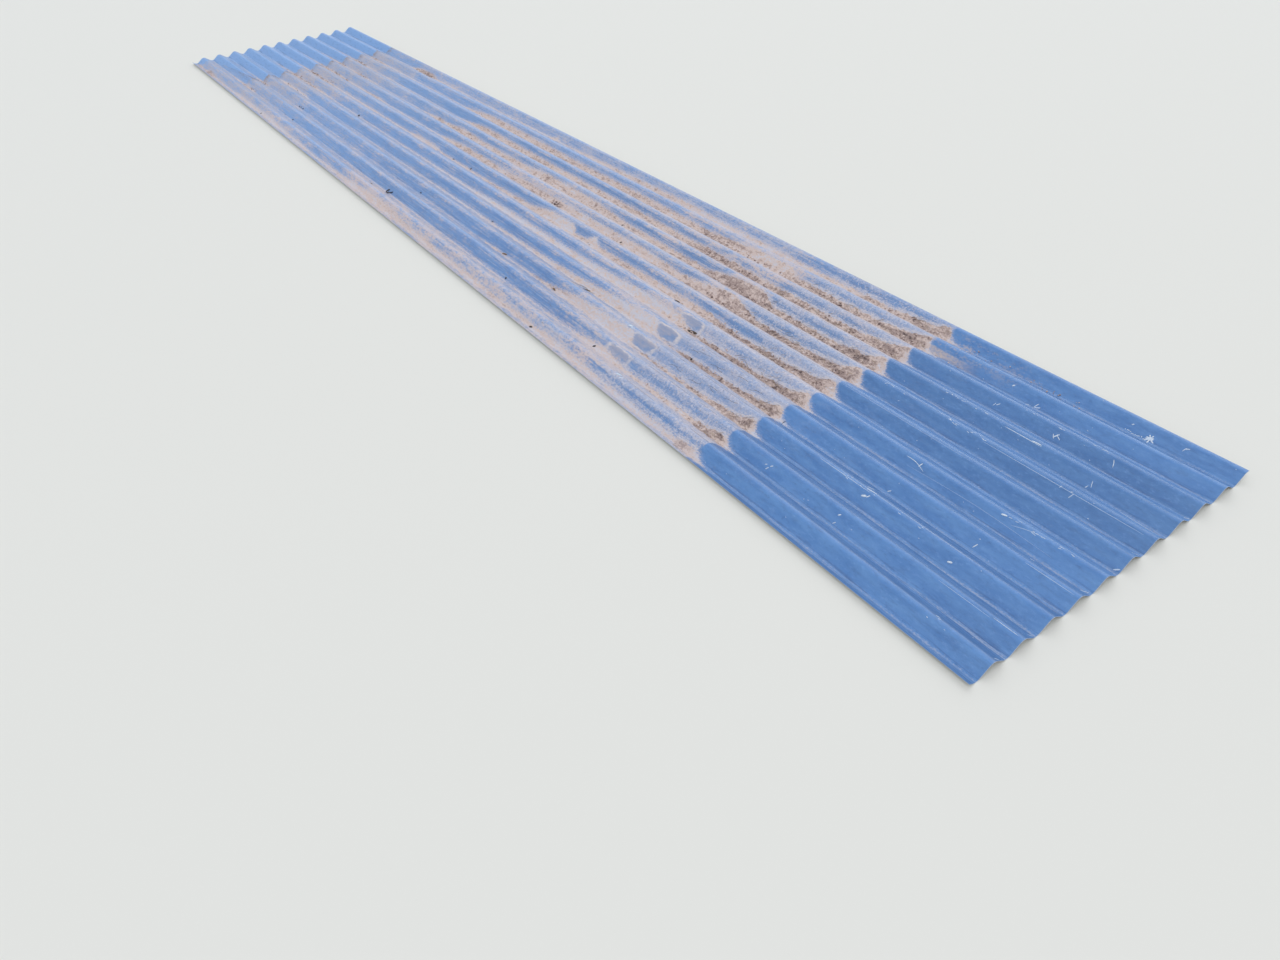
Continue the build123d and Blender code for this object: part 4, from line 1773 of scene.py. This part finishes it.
# %% Floor
floor_reach = 30.0
floor_data = bpy.data.meshes.new("floor")
corners = [(-1, -1), (1, -1), (1, 1), (-1, 1)]
floor_data.from_pydata([(x * floor_reach, y * floor_reach, 0.0) for x, y in corners], [], [(0, 1, 2, 3)])
floor = bpy.data.objects.new("floor", floor_data)
scene.collection.objects.link(floor)
floor_material, _, floor_shader, _ = new_material("pale_floor")
dress(floor_material.node_tree, floor_shader, colour(226, 226, 222), 0.9)
floor_data.materials.append(floor_material)
floor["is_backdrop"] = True
print("the floor is", 2 * floor_reach, "m wide")

# %% [markdown]
# ## Light
#
# Under an overcast sky light comes from everywhere, a little more from one side, and shadows are soft. A
# picture of a sky could light the scene, but it would be one more file and bring its own reflections. So
# the world is one plain, cool colour, and two wide suns give the soft difference between the flanks.
# Together they light the sheet so that a colour shows about as it was written. Rays that see the world
# directly, or through a reflection, find it a little brighter, as a sky is.

# %% Lamps and the world
world = bpy.data.worlds.new("studio")
scene.world = world
world.use_nodes = True
world_tree = world.node_tree
cool_white = (0.94, 0.97, 1.0, 1.0)
sky_blue = (0.80, 0.89, 1.0, 1.0)
room_light = world_tree.nodes["Background"]
room_light.inputs["Color"].default_value = cool_white
room_light.inputs["Strength"].default_value = 0.62
seen_sky = world_tree.nodes.new("ShaderNodeBackground")
seen_sky.inputs["Color"].default_value = sky_blue
seen_sky.inputs["Strength"].default_value = 1.0
ray = world_tree.nodes.new("ShaderNodeLightPath")
seen = Field(world_tree, ray.outputs["Is Camera Ray"])
seen = seen.most(Field(world_tree, ray.outputs["Is Glossy Ray"]))
seen = seen.most(Field(world_tree, ray.outputs["Is Transmission Ray"]))
either = world_tree.nodes.new("ShaderNodeMixShader")
world_tree.links.new(seen.socket, either.inputs["Fac"])
world_tree.links.new(room_light.outputs[0], either.inputs[1])
world_tree.links.new(seen_sky.outputs[0], either.inputs[2])
world_tree.links.new(either.outputs[0], world_tree.nodes["World Output"].inputs["Surface"])


def soft_sun(name, comes_from, spread, level):
    """An even, soft light from one side. Level is how brightly it alone would show a white floor."""
    data = bpy.data.lights.new(name, "SUN")
    data.angle = math.radians(spread)
    towards = Vector(comes_from).normalized()
    data.energy = level * math.pi / towards.z
    lamp = bpy.data.objects.new(name, data)
    lamp.rotation_euler = towards.to_track_quat("Z", "Y").to_euler()
    lamp.location = towards * 8
    scene.collection.objects.link(lamp)
    print(name, "has an energy of", round(data.energy, 2))


soft_sun("front_light", (0.25, -0.45, 0.85), 50, 0.26)
soft_sun("back_light", (-0.55, 0.70, 0.45), 60, 0.14)

# %% [markdown] ## Measure The mud, the litter and the marks may stand a little proud of
# the sheet, but not much: the part keeps its size. One could look at the outline by eye, but a box in
# numbers can be compared each time.

visual_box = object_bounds()
grown = [(new - old) / MM for new, old in zip(visual_box[1], cad_box[1])]
print("the finish moves the highest corner by", [round(value, 2) for value in grown], "mm")
